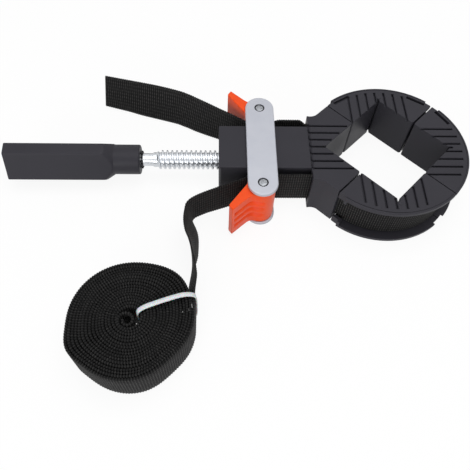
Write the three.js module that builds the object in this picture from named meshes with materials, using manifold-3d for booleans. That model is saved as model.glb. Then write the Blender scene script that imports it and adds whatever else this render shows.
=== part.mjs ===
// A band clamp: a screw and handle push the front jaw out of a block, while two cam levers
// on a riveted yoke hold the webbing band that runs round four corner jaws.
//
// Millimetres, +Z up. X runs from the handle to the jaws. The origin is the middle of the
// lower yoke plate's underside, between the two rivets, and everything stands on Z = 0.
// The near side is -Y and the far side is +Y.

import * as THREE from 'three';
import { mergeVertices } from 'three/addons/utils/BufferGeometryUtils.js';
import Module from 'manifold-3d';

const wasm = await Module();
wasm.setup();

// Fits shared by all pieces
const gap = 0.3; // between two pieces that touch
const overrun = 1; // how far a cutter runs past the face that it opens
const merged = 1e-4; // vertices closer than this are one

// Webbing band
const bandWidth = 25;
const bandThick = 1;
const bandSlack = 0.4; // free space on each side of the band in its channels
const farBow = 4.6; // the far run is slack and stands this far off its line
const bowShares = [0.125, 0.66]; // of the cam's radius and the block's front, where it leaves and rejoins it
const runStartShare = 0.45; // of the cam's radius, how far behind the rivets the runs start

// Yoke: two plates, their rivets and the bushes round them
const plateThick = 2.5;
const plateWidth = 18;
const plateEdge = 0.5; // bevel round the plate's rim
const rivetRadius = 2.4;
const rivetHeadRadius = 3.1;
const rivetHeadThick = 0.7;
const rivetCrown = 0.2; // height of the dome on each head
const bushWall = 1.3;

// Block that the yoke embraces
const blockWidth = 32.8;
const blockHeight = 27.5;
const blockBack = 26; // from the rivets' line back to the rear face
const blockFront = 30; // and forward to the front face
const blockEdge = 0.8;
const rearWall = 3.5;
const padReach = 2.2; // how far the anvil pads stand out under the cams
const padLength = 15;
const padTooth = 0.5;
const padToothPitch = 2.5;
const pegRadius = 2.5; // pegs that locate the plates
const pegHeight = 1.5;

// Screw, nut and captive tip
const threadRadius = 6;
const threadPitch = 3;
const threadDepth = 1.4;
const threadTurns = 17;
const rootShare = 0.34; // of the pitch, the flat at the root
const crestShare = 0.28; // and at the crest
const shankRadius = 4;
const shankLength = 8; // of plain shank that shows behind the thread
const hexAcross = 9; // hexagon that drives the grip, across its flats
const hexLength = 28;
const nutAcross = 17;
const nutLength = 10;
const tipRadius = 4.5;
const tipLength = 12;
const neckRadius = 3.4;
const clipThick = 1.2;
const clipWidth = 11.4;
const clipInset = 4.6; // from the stem's rear face to the clip
const padThick = 2; // thrust pad at the bottom of the bore

// Handle
const gripLength = 66.2; // from its free end to where the flats run out
const gripFlat = 18.7; // long side of the three-sided section
const gripNose = 7.3; // short side that cuts its corners
const gripRoll = 8.6; // degrees that the section leans towards -Y
const collarRadius = 9.3;
const collarLength = 16;
const collarEdge = 1.2;
const taperSlope = 0.65; // of the cone between grip and collar
const washerRadius = 5.6;
const washerThick = 1.4;
const washerTeeth = 10;

// Ring of corner jaws
const ringRadius = 50;
const bendAhead = 0.58; // from the front jaw's rear face to where the band starts to bend
const flangeReach = 6.6; // how far the flanges stand out past the band's seat
const rimStep = 1.6; // the rim is this much lower near each end of a jaw
const rimStepAngle = 39;
const jawWall = 4.23; // left between the V and the band's seat
const tightSeam = 0.5; // between two jaws that touch
const slackSeam = 0.8; // between the front jaw and the near jaw
const openSeam = 1; // between the end jaw and the far jaw
const notchWidth = 1.4; // relief at the bottom of each V
const notchDepth = 1.8;
const frontGrooves = 7;
const barPitch = 5.6; // of the grooves across the front jaw
const looseGrooves = 7;
const groovePitch = 6; // and across a loose jaw
const grooveShift = 1.2; // how far a side jaw's pattern lies towards the end jaw
const grooveWidth = 1.2;
const grooveDepth = 1.8;
const rimWidth = 3.7; // plain rim outside the grooves
const slotLength = 12.5; // slot in the upper flange, behind a keeper
const slotWidth = 2.2;
const slotInset = 3.8; // from the rim to the slot's middle
const slotAngle = 32;
const slotFloor = 0.5; // left of the flange under a slot
const keeperAngle = 37; // the near jaw's keepers start here and end at its seam
const keeperWall = 2;
const keeperHeight = 3;
const pipRadius = 1.4;
const pipHeight = 0.4;
const pipInset = 2.8; // from the V to the pip

// Front jaw's own features
const wingWall = 4.8; // outside the band's channel at the jaw's rear face
const wingThin = 3.2; // and where the wing meets the ring
const channelBend = 12; // radius of the band's bend in the jaw
const mouthFlare = 2.2;
const mouthDepth = 5;
const stemWidth = 22;
const stemHeight = 17;
const jawChamfer = 1.4;

// Cam levers
const camNose = 9; // from the rivet to the face that presses on the band
const camEccentric = 0.7;
const camBias = 60; // degrees from the nose to the cam's high side
const leverBack = 20.3; // from the rivet back to the tab's tip
const leverOut = 14.2; // and outwards
const tipThick = 4;
const footShares = [-0.66, 0.82]; // of the cam's radius, the corner that the fillet rounds off
const filletShare = 0.25; // of the tab's outer side that the fillet takes up
const filletAngle = 105; // on the hub, where the fillet ends
const heelAngle = -175; // and where the tab's inner side starts
const filletSteps = 5;
const plainShare = 0.2; // of the tab's outer side that has no finger grooves
const ribDepth = 0.9;
const ribHeight = 1.8;
const ribShares = [0.28, 0.5, 0.72]; // heights of the finger grooves
const camTeeth = 5;
const camTooth = 0.6;
const camToothAngle = 9;
const springWire = 0.45; // radius
const springTurns = 3;
const springPitch = 1.5;
const springClear = 0.5;
const springSteps = 16; // in each turn
const springSides = 5;

// Band's free parts: the coil, its tie and where they lie
const coilRadius = 32.5;
const coilEye = 6.2; // radius of the innermost full loop
const coilTurns = 16;
const coilLead = 13; // straight start of the coil
const flatShare = -0.07; // and how far they are pressed in at one side
const flatAngle = 315;
const flatSpread = 25;
const coilHook = 200; // degrees that the inner end curls on
const hookRadius = 2.8;
const cornerShare = 0.072; // how far the outer loops bulge at one corner
const cornerAngle = 208;
const cornerSpread = 15;
const shoulderShare = 0.1; // and how far they bulge beside the lead
const shoulderAngle = 42;
const shoulderSpread = 27;
const tieWidth = 2.6;
const tieThick = 1;
const tieAngle = 17; // direction of the tie across the coil
const tieStart = [3.3, 2.8]; // the tie's inner run, from the coil's middle
const tieRound = 1.5;

// Route of the band's free tail, by hand. Each point is its place along X, how far it lies out
// from the line on which the band passes the block, the height of the band's middle, and its
// lean in degrees.
const tailRoute = [
  [-4.3, 0.4, 15.3, 0], [-6.4, 1.5, 15.3, -1], [-9, 3.1, 15.2, -2], [-13, 5.4, 15, -4],
  [-19, 8.8, 14.7, -8], [-26, 12.8, 14.2, -11], [-33, 16.9, 13.7, -15], [-40, 21.1, 13.2, -18],
  [-45, 24.2, 13, -19], [-49, 26.5, 12.8, -20], [-53, 28.6, 12.6, -20], [-61, 31.6, 12.3, -21],
  [-70, 34.4, 12.2, -21], [-79, 36.8, 12.3, -19], [-88, 39.3, 12.5, -15], [-97, 41.6, 12.7, -13],
  [-104.8, 43.7, 12.8, -11],
];

// Route of the lead from the near cam to the coil, by hand, in the same way.
const leadRoute = [
  [-4.3, 0.3, 15.3, 0], [-7, 1.1, 15.3, 0], [-12, 3.3, 15.2, 0], [-20, 6.5, 15, 0], [-27.2, 9.3, 14.9, 1],
  [-33.2, 11.6, 14.7, 2], [-37.7, 13.7, 14.6, 2], [-40.8, 15.5, 14.5, 2], [-42.7, 17.7, 14.4, -1],
  [-43.3, 20.6, 14.3, -8], [-42.9, 23.8, 14.2, -13], [-42.5, 27.8, 14.1, -17], [-42.2, 31.9, 14, -18],
  [-41.7, 37, 13.9, -16], [-40.9, 42, 13.9, -11], [-40.7, 46.1, 13.8, -6], [-40.8, 50.2, 13.8, -1],
  [-40.7, 53.8, 13.8, 3], [-40.7, 57.4, 13.8, 7], [-40.7, 61.5, 13.8, 10], [-40.6, 65.6, 13.8, 12],
  [-40.2, 69.6, 13.8, 9], [-39.8, 73.3, 13.8, 5], [-39.4, 77.5, 13.8, 1],
];

// Facets
const arcStep = 5; // degrees on the ring
const stepsPerLoop = 24;
const runSteps = 16;
const threadSides = 16;
const roundSides = 24;

// Heights that follow from the sizes above
const blockLow = plateThick + gap;
const blockHigh = blockLow + blockHeight;
const topPlateLow = blockHigh + gap;
const topPlateHigh = topPlateLow + plateThick;
const axisHeight = (blockLow + blockHigh) / 2;
const bandLow = plateThick + gap;
const bandHigh = bandLow + bandWidth;
const recessLow = bandLow - bandSlack;
const recessHigh = bandHigh + bandSlack;
const jawHigh = recessHigh + recessLow;

// Places along X
const nutBack = -blockBack + rearWall + gap;
const nutFront = nutBack + nutLength;
const stemBack = nutFront + 2 * overrun;
const jawBack = blockFront + gap;
const threadFront = nutFront + overrun;
const threadLength = threadPitch * (threadTurns + 2 - rootShare);
const threadBack = threadFront - threadLength;
const collarFront = threadBack - shankLength;
const collarBack = collarFront - collarLength;
const gripBack = collarBack - gripLength;
const hexFront = collarFront - (collarLength / 2 + gap);

// Radii round the ring, and half the side of the square opening
const seatRadius = ringRadius - flangeReach;
const bandRadius = seatRadius + bandSlack + bandThick / 2;
const vertexReach = seatRadius - jawWall;
const openingHalf = vertexReach / Math.SQRT2;

// The band's line beside the block, and the cam that presses on it there
const runOffset = blockWidth / 2 + padReach + bandSlack + bandThick / 2;
const rivetReach = runOffset + bandThick / 2 + gap + camNose;
const camRadius = camNose - camEccentric * Math.cos(THREE.MathUtils.degToRad(camBias));

// Where the band starts to bend in the front jaw, and the middle of the ring that it then runs round
const bendStart = jawBack + bendAhead;
const ringAhead = bendStart + bandRadius * Math.SQRT2 - runOffset + channelBend * Math.tan(Math.PI / 8);

// The coil starts where the lead ends
const [leadEndX, leadEndOut] = leadRoute.at(-1);
const coilMiddle = [leadEndX - coilRadius, -runOffset - leadEndOut - gap - coilLead];

const radians = THREE.MathUtils.degToRad;

// Solids from three.js geometry

// A closed geometry as a solid that can be joined and cut.
function solid(geometry) {
  geometry.deleteAttribute('normal');
  geometry.deleteAttribute('uv');
  const whole = mergeVertices(geometry, merged);
  const index = whole.index.array;
  const faces = [];
  for (let i = 0; i < index.length; i += 3) {
    const [a, b, c] = [index[i], index[i + 1], index[i + 2]];
    if (a !== b && b !== c && c !== a) faces.push(a, b, c);
  }
  return new wasm.Manifold(new wasm.Mesh({
    numProp: 3,
    vertProperties: whole.attributes.position.array,
    triVerts: new Uint32Array(faces),
  }));
}

function geometryOf(body) {
  const mesh = body.getMesh();
  const geometry = new THREE.BufferGeometry();
  geometry.setAttribute('position', new THREE.BufferAttribute(mesh.vertProperties, 3));
  geometry.setIndex(new THREE.BufferAttribute(mesh.triVerts, 1));
  return geometry;
}

// An upright prism on an outline of plan points, with its rims bevelled where bevel is given.
function prismGeometry(outline, low, high, bevel = 0) {
  const shape = new THREE.Shape(outline.map(([x, y]) => new THREE.Vector2(x, y)));
  return new THREE.ExtrudeGeometry(shape, {
    depth: high - low - 2 * bevel,
    bevelEnabled: bevel > 0,
    bevelThickness: bevel,
    bevelSize: bevel,
    bevelOffset: -bevel,
    bevelSegments: 1,
    curveSegments: 1,
  }).translate(0, 0, low + bevel);
}

function prism(outline, low, high, bevel) {
  return solid(prismGeometry(outline, low, high, bevel));
}

// A box between two corners.
function box(x0, x1, y0, y1, z0, z1) {
  const size = [x1 - x0, y1 - y0, z1 - z0];
  return solid(new THREE.BoxGeometry(...size).translate((x0 + x1) / 2, (y0 + y1) / 2, (z0 + z1) / 2));
}

// A turned piece: profile points are [radius, place along the axis], upwards.
function turnedGeometry(profile, sides) {
  return new THREE.LatheGeometry(profile.map(([r, along]) => new THREE.Vector2(r, along)), sides);
}

function turnedUp(profile, x, y, sides = roundSides) {
  return solid(turnedGeometry(profile, sides).rotateX(Math.PI / 2).translate(x, y, 0));
}

function turnedAlong(profile, sides = roundSides) {
  return solid(turnedGeometry(profile, sides).rotateZ(-Math.PI / 2).translate(0, 0, axisHeight));
}

function rod(radius, from, to) {
  return [[0, from], [radius, from], [radius, to], [0, to]];
}

// A tube with straight walls, whose profile closes on itself.
function sleeve(inner, outer, from, to) {
  return [[inner, from], [outer, from], [outer, to], [inner, to], [inner, from]];
}

// A skin through rings of points, closed by flat ends or, in a loop, on itself.
function loft(rings, loop = false) {
  const count = rings[0].length;
  const places = rings.flat().flatMap((p) => [p.x, p.y, p.z]);
  const faces = [];
  const last = loop ? rings.length : rings.length - 1;
  for (let i = 0; i < last; i += 1) {
    for (let k = 0; k < count; k += 1) {
      const [a, b] = [i * count + k, i * count + ((k + 1) % count)];
      const next = ((i + 1) % rings.length) * count;
      const [c, d] = [next + ((k + 1) % count), next + k];
      faces.push(a, b, c, a, c, d);
    }
  }
  for (let k = 1; !loop && k < count - 1; k += 1) {
    const end = (rings.length - 1) * count;
    faces.push(0, k + 1, k, end, end + k, end + k + 1);
  }
  const geometry = new THREE.BufferGeometry();
  geometry.setAttribute('position', new THREE.Float32BufferAttribute(places, 3));
  geometry.setIndex(faces);
  return geometry;
}

// Points of an arc in plan, from one angle to another in degrees, ends included.
function arc(x, y, radius, from, to, step = arcStep) {
  const count = Math.max(1, Math.round(Math.abs(to - from) / step));
  return Array.from({ length: count + 1 }, (_, i) => {
    const angle = radians(from + ((to - from) * i) / count);
    return [x + radius * Math.cos(angle), y + radius * Math.sin(angle)];
  });
}

// The plan normal to the left of a route at each of its points.
function normals(route) {
  return route.map((_, i) => {
    const [a, b] = [route[Math.max(i - 1, 0)], route[Math.min(i + 1, route.length - 1)]];
    const length = Math.hypot(b[0] - a[0], b[1] - a[1]);
    return [-(b[1] - a[1]) / length, (b[0] - a[0]) / length];
  });
}

// The outline of a slot along a route, so far to its left and so far to its right.
function slotOutline(route, left, right) {
  const side = normals(route);
  const shifted = (by) => route.map(([x, y], i) => [x + side[i][0] * by, y + side[i][1] * by]);
  return [...shifted(-right), ...shifted(left).reverse()];
}

// Flat webbing on its edge along a route of [x, y, height of its middle, lean in degrees].
function strap(route) {
  const side = normals(route);
  return loft(route.map(([x, y, z, lean], i) => {
    const [across, up] = [Math.cos(radians(lean)), Math.sin(radians(lean))];
    const flat = new THREE.Vector3(side[i][0] * across, side[i][1] * across, -up);
    const tall = new THREE.Vector3(side[i][0] * up, side[i][1] * up, across);
    const corner = (s, t) => new THREE.Vector3(x, y, z)
      .addScaledVector(flat, (s * bandThick) / 2).addScaledVector(tall, (t * bandWidth) / 2);
    return [corner(-1, -1), corner(1, -1), corner(1, 1), corner(-1, 1)];
  }));
}

// A free stretch's route as a strap takes it, on the far side or the near one.
function freeRoute(route, side) {
  return route.map(([x, out, height, lean]) => [x, side * (runOffset + out), height, lean]);
}

// Plan points mirrored to the other side of the clamp, or kept.
function onSide(points, side) {
  return points.map(([x, y, ...rest]) => [x, side * y, ...rest]);
}

// A regular polygon across its flats, as points of [y, z] about the axis.
function hexagon(across) {
  return arc(0, 0, across / 2 / Math.cos(Math.PI / 6), 0, 300, 60);
}

// A prism along X on an outline of [y, z] points about the screw's axis.
function bar(outline, from, to) {
  const turned = outline.map(([y, z]) => [-z, y]);
  return solid(prismGeometry(turned, from, to).rotateY(Math.PI / 2).translate(0, 0, axisHeight));
}

// Yoke

function plateOutline() {
  const end = plateWidth / 2;
  return [...arc(0, rivetReach, end, 0, 180, 2 * arcStep), ...arc(0, -rivetReach, end, 180, 360, 2 * arcStep)];
}

// One plate; inner is its face towards the block and outer the one that shows.
function yokePlate(inner, outer) {
  const [low, high] = [Math.min(inner, outer), Math.max(inner, outer)];
  const out = Math.sign(outer - inner);
  const span = (a, b) => [Math.min(a, b), Math.max(a, b)];
  let plate = prism(plateOutline(), low, high, plateEdge);
  for (const y of [-rivetReach, rivetReach]) {
    const hole = rod(rivetRadius + gap, low - overrun, high + overrun);
    const sinkFloor = outer - out * (rivetHeadThick + gap);
    const sink = rod(rivetHeadRadius + gap, ...span(sinkFloor, outer + out * overrun));
    plate = plate.subtract(turnedUp(hole, 0, y)).subtract(turnedUp(sink, 0, y));
  }
  const pocket = rod(pegRadius + gap, ...span(inner - out * overrun, inner + out * pegHeight));
  return plate.subtract(turnedUp(pocket, 0, 0));
}

// A rivet with a shallow dome on both heads, and its heads sunk in the plates.
function rivet(y) {
  const low = rivetCrown;
  const high = topPlateHigh - rivetCrown;
  const profile = [
    [0, 0], [rivetHeadRadius / 2, 0], [rivetHeadRadius, low],
    [rivetHeadRadius, low + rivetHeadThick - rivetCrown], [rivetRadius, low + rivetHeadThick - rivetCrown],
    [rivetRadius, high - rivetHeadThick + rivetCrown], [rivetHeadRadius, high - rivetHeadThick + rivetCrown],
    [rivetHeadRadius, high], [rivetHeadRadius / 2, topPlateHigh], [0, topPlateHigh],
  ];
  return turnedUp(profile, 0, y);
}

function rivetBush(y) {
  const inner = rivetRadius + gap;
  return turnedUp(sleeve(inner, inner + bushWall, blockLow, blockHigh), 0, y);
}

// Block

function block() {
  const half = blockWidth / 2;
  const outline = [[-blockBack, -half], [blockFront, -half], [blockFront, half], [-blockBack, half]];
  let body = prism(outline, blockLow, blockHigh, blockEdge);
  const end = padLength / 2;
  for (const side of [-1, 1]) {
    // The anvil pad, with teeth that face the cam.
    const teeth = Math.floor(padLength / padToothPitch);
    const face = half + padReach;
    const points = [[-end, half - overrun]];
    for (let i = 0; i < teeth; i += 1) {
      const at = (i + 0.5) * padToothPitch - (teeth * padToothPitch) / 2;
      points.push([at - padToothPitch / 4, face], [at, face - padTooth], [at + padToothPitch / 4, face]);
    }
    points.push([end, half - overrun]);
    body = body.add(prism(onSide(points, side), blockLow + blockEdge + gap, blockHigh - blockEdge - gap));
  }
  for (const [low, high] of [[blockLow - pegHeight, blockLow + overrun], [blockHigh - overrun, blockHigh + pegHeight]]) {
    body = body.add(turnedUp(rod(pegRadius, low, high), 0, 0));
  }
  const [wide, tall] = [stemWidth / 2 + gap, stemHeight / 2 + gap];
  const cavity = box(nutFront - gap, blockFront + overrun, -wide, wide, axisHeight - tall, axisHeight + tall);
  const pocket = bar(hexagon(nutAcross + 2 * gap), nutBack - gap, nutFront);
  const hole = turnedAlong(rod(threadRadius + 2 * gap, -blockBack - overrun, nutBack));
  return body.subtract(cavity).subtract(pocket).subtract(hole);
}

function nut() {
  const bore = turnedAlong(rod(threadRadius + gap, nutBack - overrun, nutFront + overrun));
  return bar(hexagon(nutAcross), nutBack, nutFront).subtract(bore);
}

// Screw

// A rod with one helical ridge, its facets laid along the helix so that they need no cutting.
function thread(back, sides, turns) {
  const root = threadRadius - threadDepth;
  const flank = (threadPitch * (1 - rootShare - crestShare)) / 2;
  const heights = [0, flank, flank + threadPitch * crestShare, threadPitch * (1 - rootShare)];
  const radii = [root, threadRadius, threadRadius, root];
  const steps = sides * turns;
  const start = threadPitch / 2;
  const front = back + start + threadPitch * turns + heights[3] + start;
  const places = [];
  const put = (radius, along, step) => {
    const angle = (2 * Math.PI * step) / sides;
    places.push(along, radius * Math.cos(angle), axisHeight + radius * Math.sin(angle));
    return places.length / 3 - 1;
  };
  const row = Array.from({ length: steps + 1 }, (_, s) => heights.map(
    (height, k) => put(radii[k], back + start + height + (threadPitch * s) / sides, s),
  ));
  const ring = (along) => Array.from({ length: sides }, (_, s) => put(root, along, s));
  const [first, last] = [ring(back), ring(front)];
  const faces = [];
  const quad = (a, b, c, d) => faces.push(a, b, c, a, c, d);
  for (let s = 0; s < steps; s += 1) {
    for (let k = 0; k < 3; k += 1) quad(row[s][k], row[s + 1][k], row[s + 1][k + 1], row[s][k + 1]);
    if (s < steps - sides) quad(row[s][3], row[s + 1][3], row[s + 1 + sides][0], row[s + sides][0]);
  }
  const tail = steps - sides;
  for (let s = 0; s < sides - 1; s += 1) {
    quad(first[s], first[s + 1], row[s + 1][0], row[s][0]);
    quad(row[tail + s + 1][3], row[tail + s + 2][3], last[(s + 2) % sides], last[s + 1]);
  }
  // The ridge's two ends, and the facet beside each that takes up its foot.
  const [from, to] = [row[0], row[steps]];
  quad(from[0], from[1], from[2], from[3]);
  quad(to[3], to[2], to[1], to[0]);
  const before = row[sides - 1][0];
  const after = row[tail + 1][3];
  faces.push(before, first[sides - 1], first[0], before, first[0], from[0]);
  faces.push(before, from[0], from[3], before, from[3], row[sides][0]);
  faces.push(after, to[0], row[tail][3], after, to[3], to[0], after, last[0], to[3], after, last[1], last[0]);
  const [backHub, frontHub] = [put(0, back, 0), put(0, front, 0)];
  for (let s = 0; s < sides; s += 1) {
    faces.push(backHub, first[(s + 1) % sides], first[s]);
    faces.push(frontHub, last[s], last[(s + 1) % sides]);
  }
  const geometry = new THREE.BufferGeometry();
  geometry.setAttribute('position', new THREE.Float32BufferAttribute(places, 3));
  geometry.setIndex(faces);
  return geometry;
}

function spindle() {
  const groove = stemBack + clipInset - (clipThick + 2 * gap) / 2;
  const tip = [
    [0, threadFront - threadPitch], [tipRadius, threadFront - threadPitch], [tipRadius, groove],
    [neckRadius, groove], [neckRadius, groove + clipThick + 2 * gap], [tipRadius, groove + clipThick + 2 * gap],
    [tipRadius, stemBack + tipLength - gap], [0, stemBack + tipLength - gap],
  ];
  return solid(thread(threadBack, threadSides, threadTurns))
    .add(turnedAlong(tip))
    .add(turnedAlong(rod(shankRadius, hexFront - overrun, threadBack + threadPitch)))
    .add(bar(hexagon(hexAcross), hexFront - hexLength, hexFront));
}

// The horseshoe clip that drops into the stem and holds the screw's neck.
function clip() {
  const [half, inner] = [clipWidth / 2, neckRadius + gap];
  const top = stemHeight / 2 - gap;
  const outline = [
    [-half, -half], [-inner, -half], ...arc(0, 0, inner, 180, 0, 4 * arcStep), [inner, -half],
    [half, -half], [half, top], [-half, top],
  ];
  const at = stemBack + clipInset;
  return bar(outline, at - clipThick / 2, at + clipThick / 2);
}

function thrustPad() {
  const from = stemBack + tipLength;
  return turnedAlong(rod(tipRadius, from, from + padThick));
}

// Handle

// The grip's section: three long flats and three short ones, all corners on one circle.
function gripSection() {
  const apothem = (gripFlat + 2 * gripNose) / (2 * Math.sqrt(3));
  const corner = Math.hypot(apothem, gripFlat / 2);
  const half = THREE.MathUtils.radToDeg(Math.asin(gripNose / 2 / corner));
  return [0, 120, 240].flatMap((turn) => [-half, half].map((by) => {
    const angle = radians(90 + gripRoll + turn + by);
    return [corner * Math.cos(angle), corner * Math.sin(angle)];
  }));
}

function grip() {
  // The taper is turned on a radius that clears the section's corners.
  const taperLength = (gripFlat - collarRadius) / taperSlope;
  const taper = turnedAlong([
    [0, gripBack], [gripFlat, gripBack], [gripFlat, collarBack - taperLength],
    [collarRadius, collarBack], [collarRadius, collarFront], [0, collarFront],
  ], 2 * roundSides);
  const collar = turnedAlong([
    [0, collarBack - collarLength], [collarRadius, collarBack - collarLength],
    [collarRadius, collarFront - collarEdge], [collarRadius - collarEdge, collarFront], [0, collarFront],
  ], 2 * roundSides);
  const bore = turnedAlong(rod(shankRadius + gap, hexFront - overrun, collarFront + overrun));
  const socket = bar(hexagon(hexAcross + 2 * gap), hexFront - hexLength - gap, hexFront + gap);
  return bar(gripSection(), gripBack, collarBack + overrun).intersect(taper)
    .add(collar).subtract(bore).subtract(socket);
}

// The toothed push-on washer at the collar's mouth.
function washer() {
  const from = collarFront + gap;
  const inner = shankRadius + gap;
  const points = Array.from({ length: 2 * washerTeeth }, (_, i) => {
    const radius = i % 2 ? washerRadius : (inner + washerRadius) / 2;
    const angle = (Math.PI * i) / washerTeeth;
    return [radius * Math.cos(angle), radius * Math.sin(angle)];
  });
  const hole = turnedAlong(rod(inner, from - overrun, from + washerThick + overrun));
  return bar(points, from, from + washerThick).subtract(hole);
}

// Jaws

function topGroove(x0, x1, y) {
  return box(x0, x1, y - grooveWidth / 2, y + grooveWidth / 2, jawHigh - grooveDepth, jawHigh + overrun);
}

// The V of a jaw whose axis is +X from the ring's middle: from its low leg's end to its high one's.
function vee(halfGapLow, halfGapHigh) {
  const leg = (sign, halfGap) => {
    const along = (openingHalf - halfGap) / Math.SQRT2;
    return [vertexReach - along, sign * along];
  };
  const [notch, mouth] = [vertexReach + notchDepth, vertexReach - notchWidth / 2];
  return [
    leg(-1, halfGapLow), [mouth, -notchWidth / 2], [notch, -notchWidth / 2],
    [notch, notchWidth / 2], [mouth, notchWidth / 2], leg(1, halfGapHigh),
  ];
}

// A sector of a flange's rim, between two radii and two angles.
function rimSector(radii, first, last, z0, z1) {
  const [inner, outer] = [arc(0, 0, radii[0], first, last), arc(0, 0, radii[1], first, last)];
  return prism([...outer, ...inner.reverse()], z0, z1);
}

// A loose jaw about the ring's middle, its axis along +X, between two seams. Its grooves lie more
// to one side of the axis than to the other, and are shifted further on the two side jaws. The
// lower flange is stepped in at both ends, and the upper one at the ends that `steps` names. There
// a slot lies beside the step, or else a keeper on each flange reaches over the band's edge.
function looseJaw(seamLow, seamHigh, side, shift, steps, keeper) {
  const [halfGapLow, halfGapHigh] = [seamLow / 2, seamHigh / 2];
  const low = ringRadius - rimStep;
  const seamAt = (halfGap) => 45 - THREE.MathUtils.radToDeg(Math.asin(halfGap / ringRadius));
  const rim = arc(0, 0, ringRadius, -seamAt(halfGapLow), seamAt(halfGapHigh));
  let jaw = prism([...rim, ...vee(halfGapLow, halfGapHigh).reverse()], 0, jawHigh);
  let recess = turnedUp(sleeve(seatRadius, ringRadius + overrun, recessLow, recessHigh), 0, 0, 360 / arcStep);
  if (keeper) {
    const radii = [low - keeperWall, ringRadius + 2 * overrun];
    const spans = [[0, recessLow + keeperHeight], [recessHigh - keeperHeight, jawHigh]];
    for (const [z0, z1] of spans) {
      recess = recess.subtract(rimSector(radii, -45 - arcStep, -keeperAngle, z0, z1));
    }
  }
  jaw = jaw.subtract(recess);
  for (let i = 0; i < looseGrooves; i += 1) {
    const y = side * ((i - looseGrooves / 2) * groovePitch + shift);
    const reach = Math.sqrt((ringRadius - rimWidth) ** 2 - y ** 2);
    jaw = jaw.subtract(topGroove(vertexReach - Math.abs(y) - grooveWidth, reach, y));
  }
  for (const end of [-1, 1]) {
    const radii = [low, ringRadius + overrun];
    const [first, last] = end < 0 ? [-45, -rimStepAngle] : [rimStepAngle, 45];
    const top = steps.includes(end) ? jawHigh + overrun : jawHigh / 2;
    jaw = jaw.subtract(rimSector(radii, first, last, -overrun, top));
  }
  const middle = ringRadius - slotInset;
  const [half, wide] = [slotLength / 2, slotWidth / 2];
  for (const end of keeper ? [] : steps) {
    const slot = [[middle - wide, -half], [middle + wide, -half], [middle + wide, half], [middle - wide, half]];
    const cutter = prismGeometry(slot, recessHigh + slotFloor, jawHigh + overrun).rotateZ(radians(end * slotAngle));
    jaw = jaw.subtract(solid(cutter));
  }
  if (shift) {
    const dome = [
      [0, jawHigh - overrun], [pipRadius, jawHigh - overrun], [pipRadius, jawHigh],
      [pipRadius / 2, jawHigh + pipHeight], [0, jawHigh + pipHeight],
    ];
    jaw = jaw.add(turnedUp(dome, vertexReach + pipInset, (side * shift) / 2, roundSides / 2));
  }
  return jaw;
}

// The band's line on the far side, from a place beside the block to where it meets the ring.
function channelRoute(from) {
  const meets = bandRadius / Math.SQRT2;
  return [
    [from, runOffset],
    ...arc(bendStart, runOffset + channelBend, channelBend, -90, -45, 3 * arcStep),
    [ringAhead - meets, meets],
  ];
}

// The front jaw: a V, two wings that guide the band, and the stem that slides in the block.
function frontJaw() {
  const free = bandThick / 2 + bandSlack;
  const line = channelRoute(jawBack);
  const lineSide = normals(line);
  // One wing's outline, from the seam with the side jaw back to the rear face.
  const wing = (seam) => {
    const end = ringAhead - (bandRadius + free + wingThin + seam / 2) / Math.SQRT2;
    const bend = line.slice(2, -1).map(([x, y], i) => {
      const wall = free + wingWall + ((wingThin - wingWall) * (i + 2)) / (line.length - 1);
      return [x + lineSide[i + 2][0] * wall, y + lineSide[i + 2][1] * wall];
    });
    const tip = [end, ringAhead - (seam / 2) * Math.SQRT2 - end];
    return [tip, ...bend.reverse(), [jawBack, runOffset + free + wingWall]];
  };
  const legs = vee(slackSeam / 2, tightSeam / 2).map(([x, y]) => [ringAhead - x, y]);
  const outline = [...onSide(wing(slackSeam), -1).reverse(), ...legs, ...wing(tightSeam)];
  let jaw = prism(outline, 0, jawHigh);
  const [wide, tall] = [stemWidth / 2, stemHeight / 2];
  jaw = jaw.add(box(stemBack, jawBack + overrun, -wide, wide, axisHeight - tall, axisHeight + tall));
  const through = channelRoute(jawBack - overrun);
  const [last, before] = [through.at(-1), through.at(-2)];
  through.push([2 * last[0] - before[0], 2 * last[1] - before[1]]);
  const mouth = [
    [jawBack - overrun, runOffset - free], [jawBack + mouthDepth, runOffset - free],
    [jawBack + mouthDepth, runOffset + free], [jawBack - overrun, runOffset + free + mouthFlare],
  ];
  for (const side of [-1, 1]) {
    jaw = jaw.subtract(prism(onSide(slotOutline(through, free, free), side), recessLow, recessHigh));
    jaw = jaw.subtract(prism(onSide(mouth, side), recessLow, recessHigh));
  }
  for (let i = 0; i < frontGrooves; i += 1) {
    const y = (i - (frontGrooves - 1) / 2) * barPitch;
    const reach = ringAhead - vertexReach + Math.abs(y) + grooveWidth;
    jaw = jaw.subtract(topGroove(jawBack - overrun, reach, y));
  }
  // The bars' ends slope down to the block.
  const slope = [[-overrun, -overrun], [jawChamfer, 0], [-overrun, jawChamfer + overrun]];
  const wedge = prismGeometry(slope, -blockWidth / 2, blockWidth / 2);
  wedge.rotateX(Math.PI / 2).scale(1, 1, -1).translate(jawBack, 0, jawHigh);
  jaw = jaw.subtract(flipped(wedge));
  const bore = turnedAlong(rod(tipRadius + gap, stemBack - overrun, stemBack + tipLength + padThick + gap));
  const at = stemBack + clipInset;
  const half = clipWidth / 2 + gap;
  const slot = box(at - clipThick / 2 - gap, at + clipThick / 2 + gap, -half, half, axisHeight - half, blockHigh);
  return jaw.subtract(bore).subtract(slot);
}

// A geometry that a mirroring scale turned inside out, with its faces turned back.
function flipped(geometry) {
  const places = geometry.attributes.position;
  const order = Array.from({ length: places.count }, (_, i) => i - (i % 3) + [0, 2, 1][i % 3]);
  geometry.setIndex(order);
  return solid(geometry);
}

// Cam levers

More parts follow.
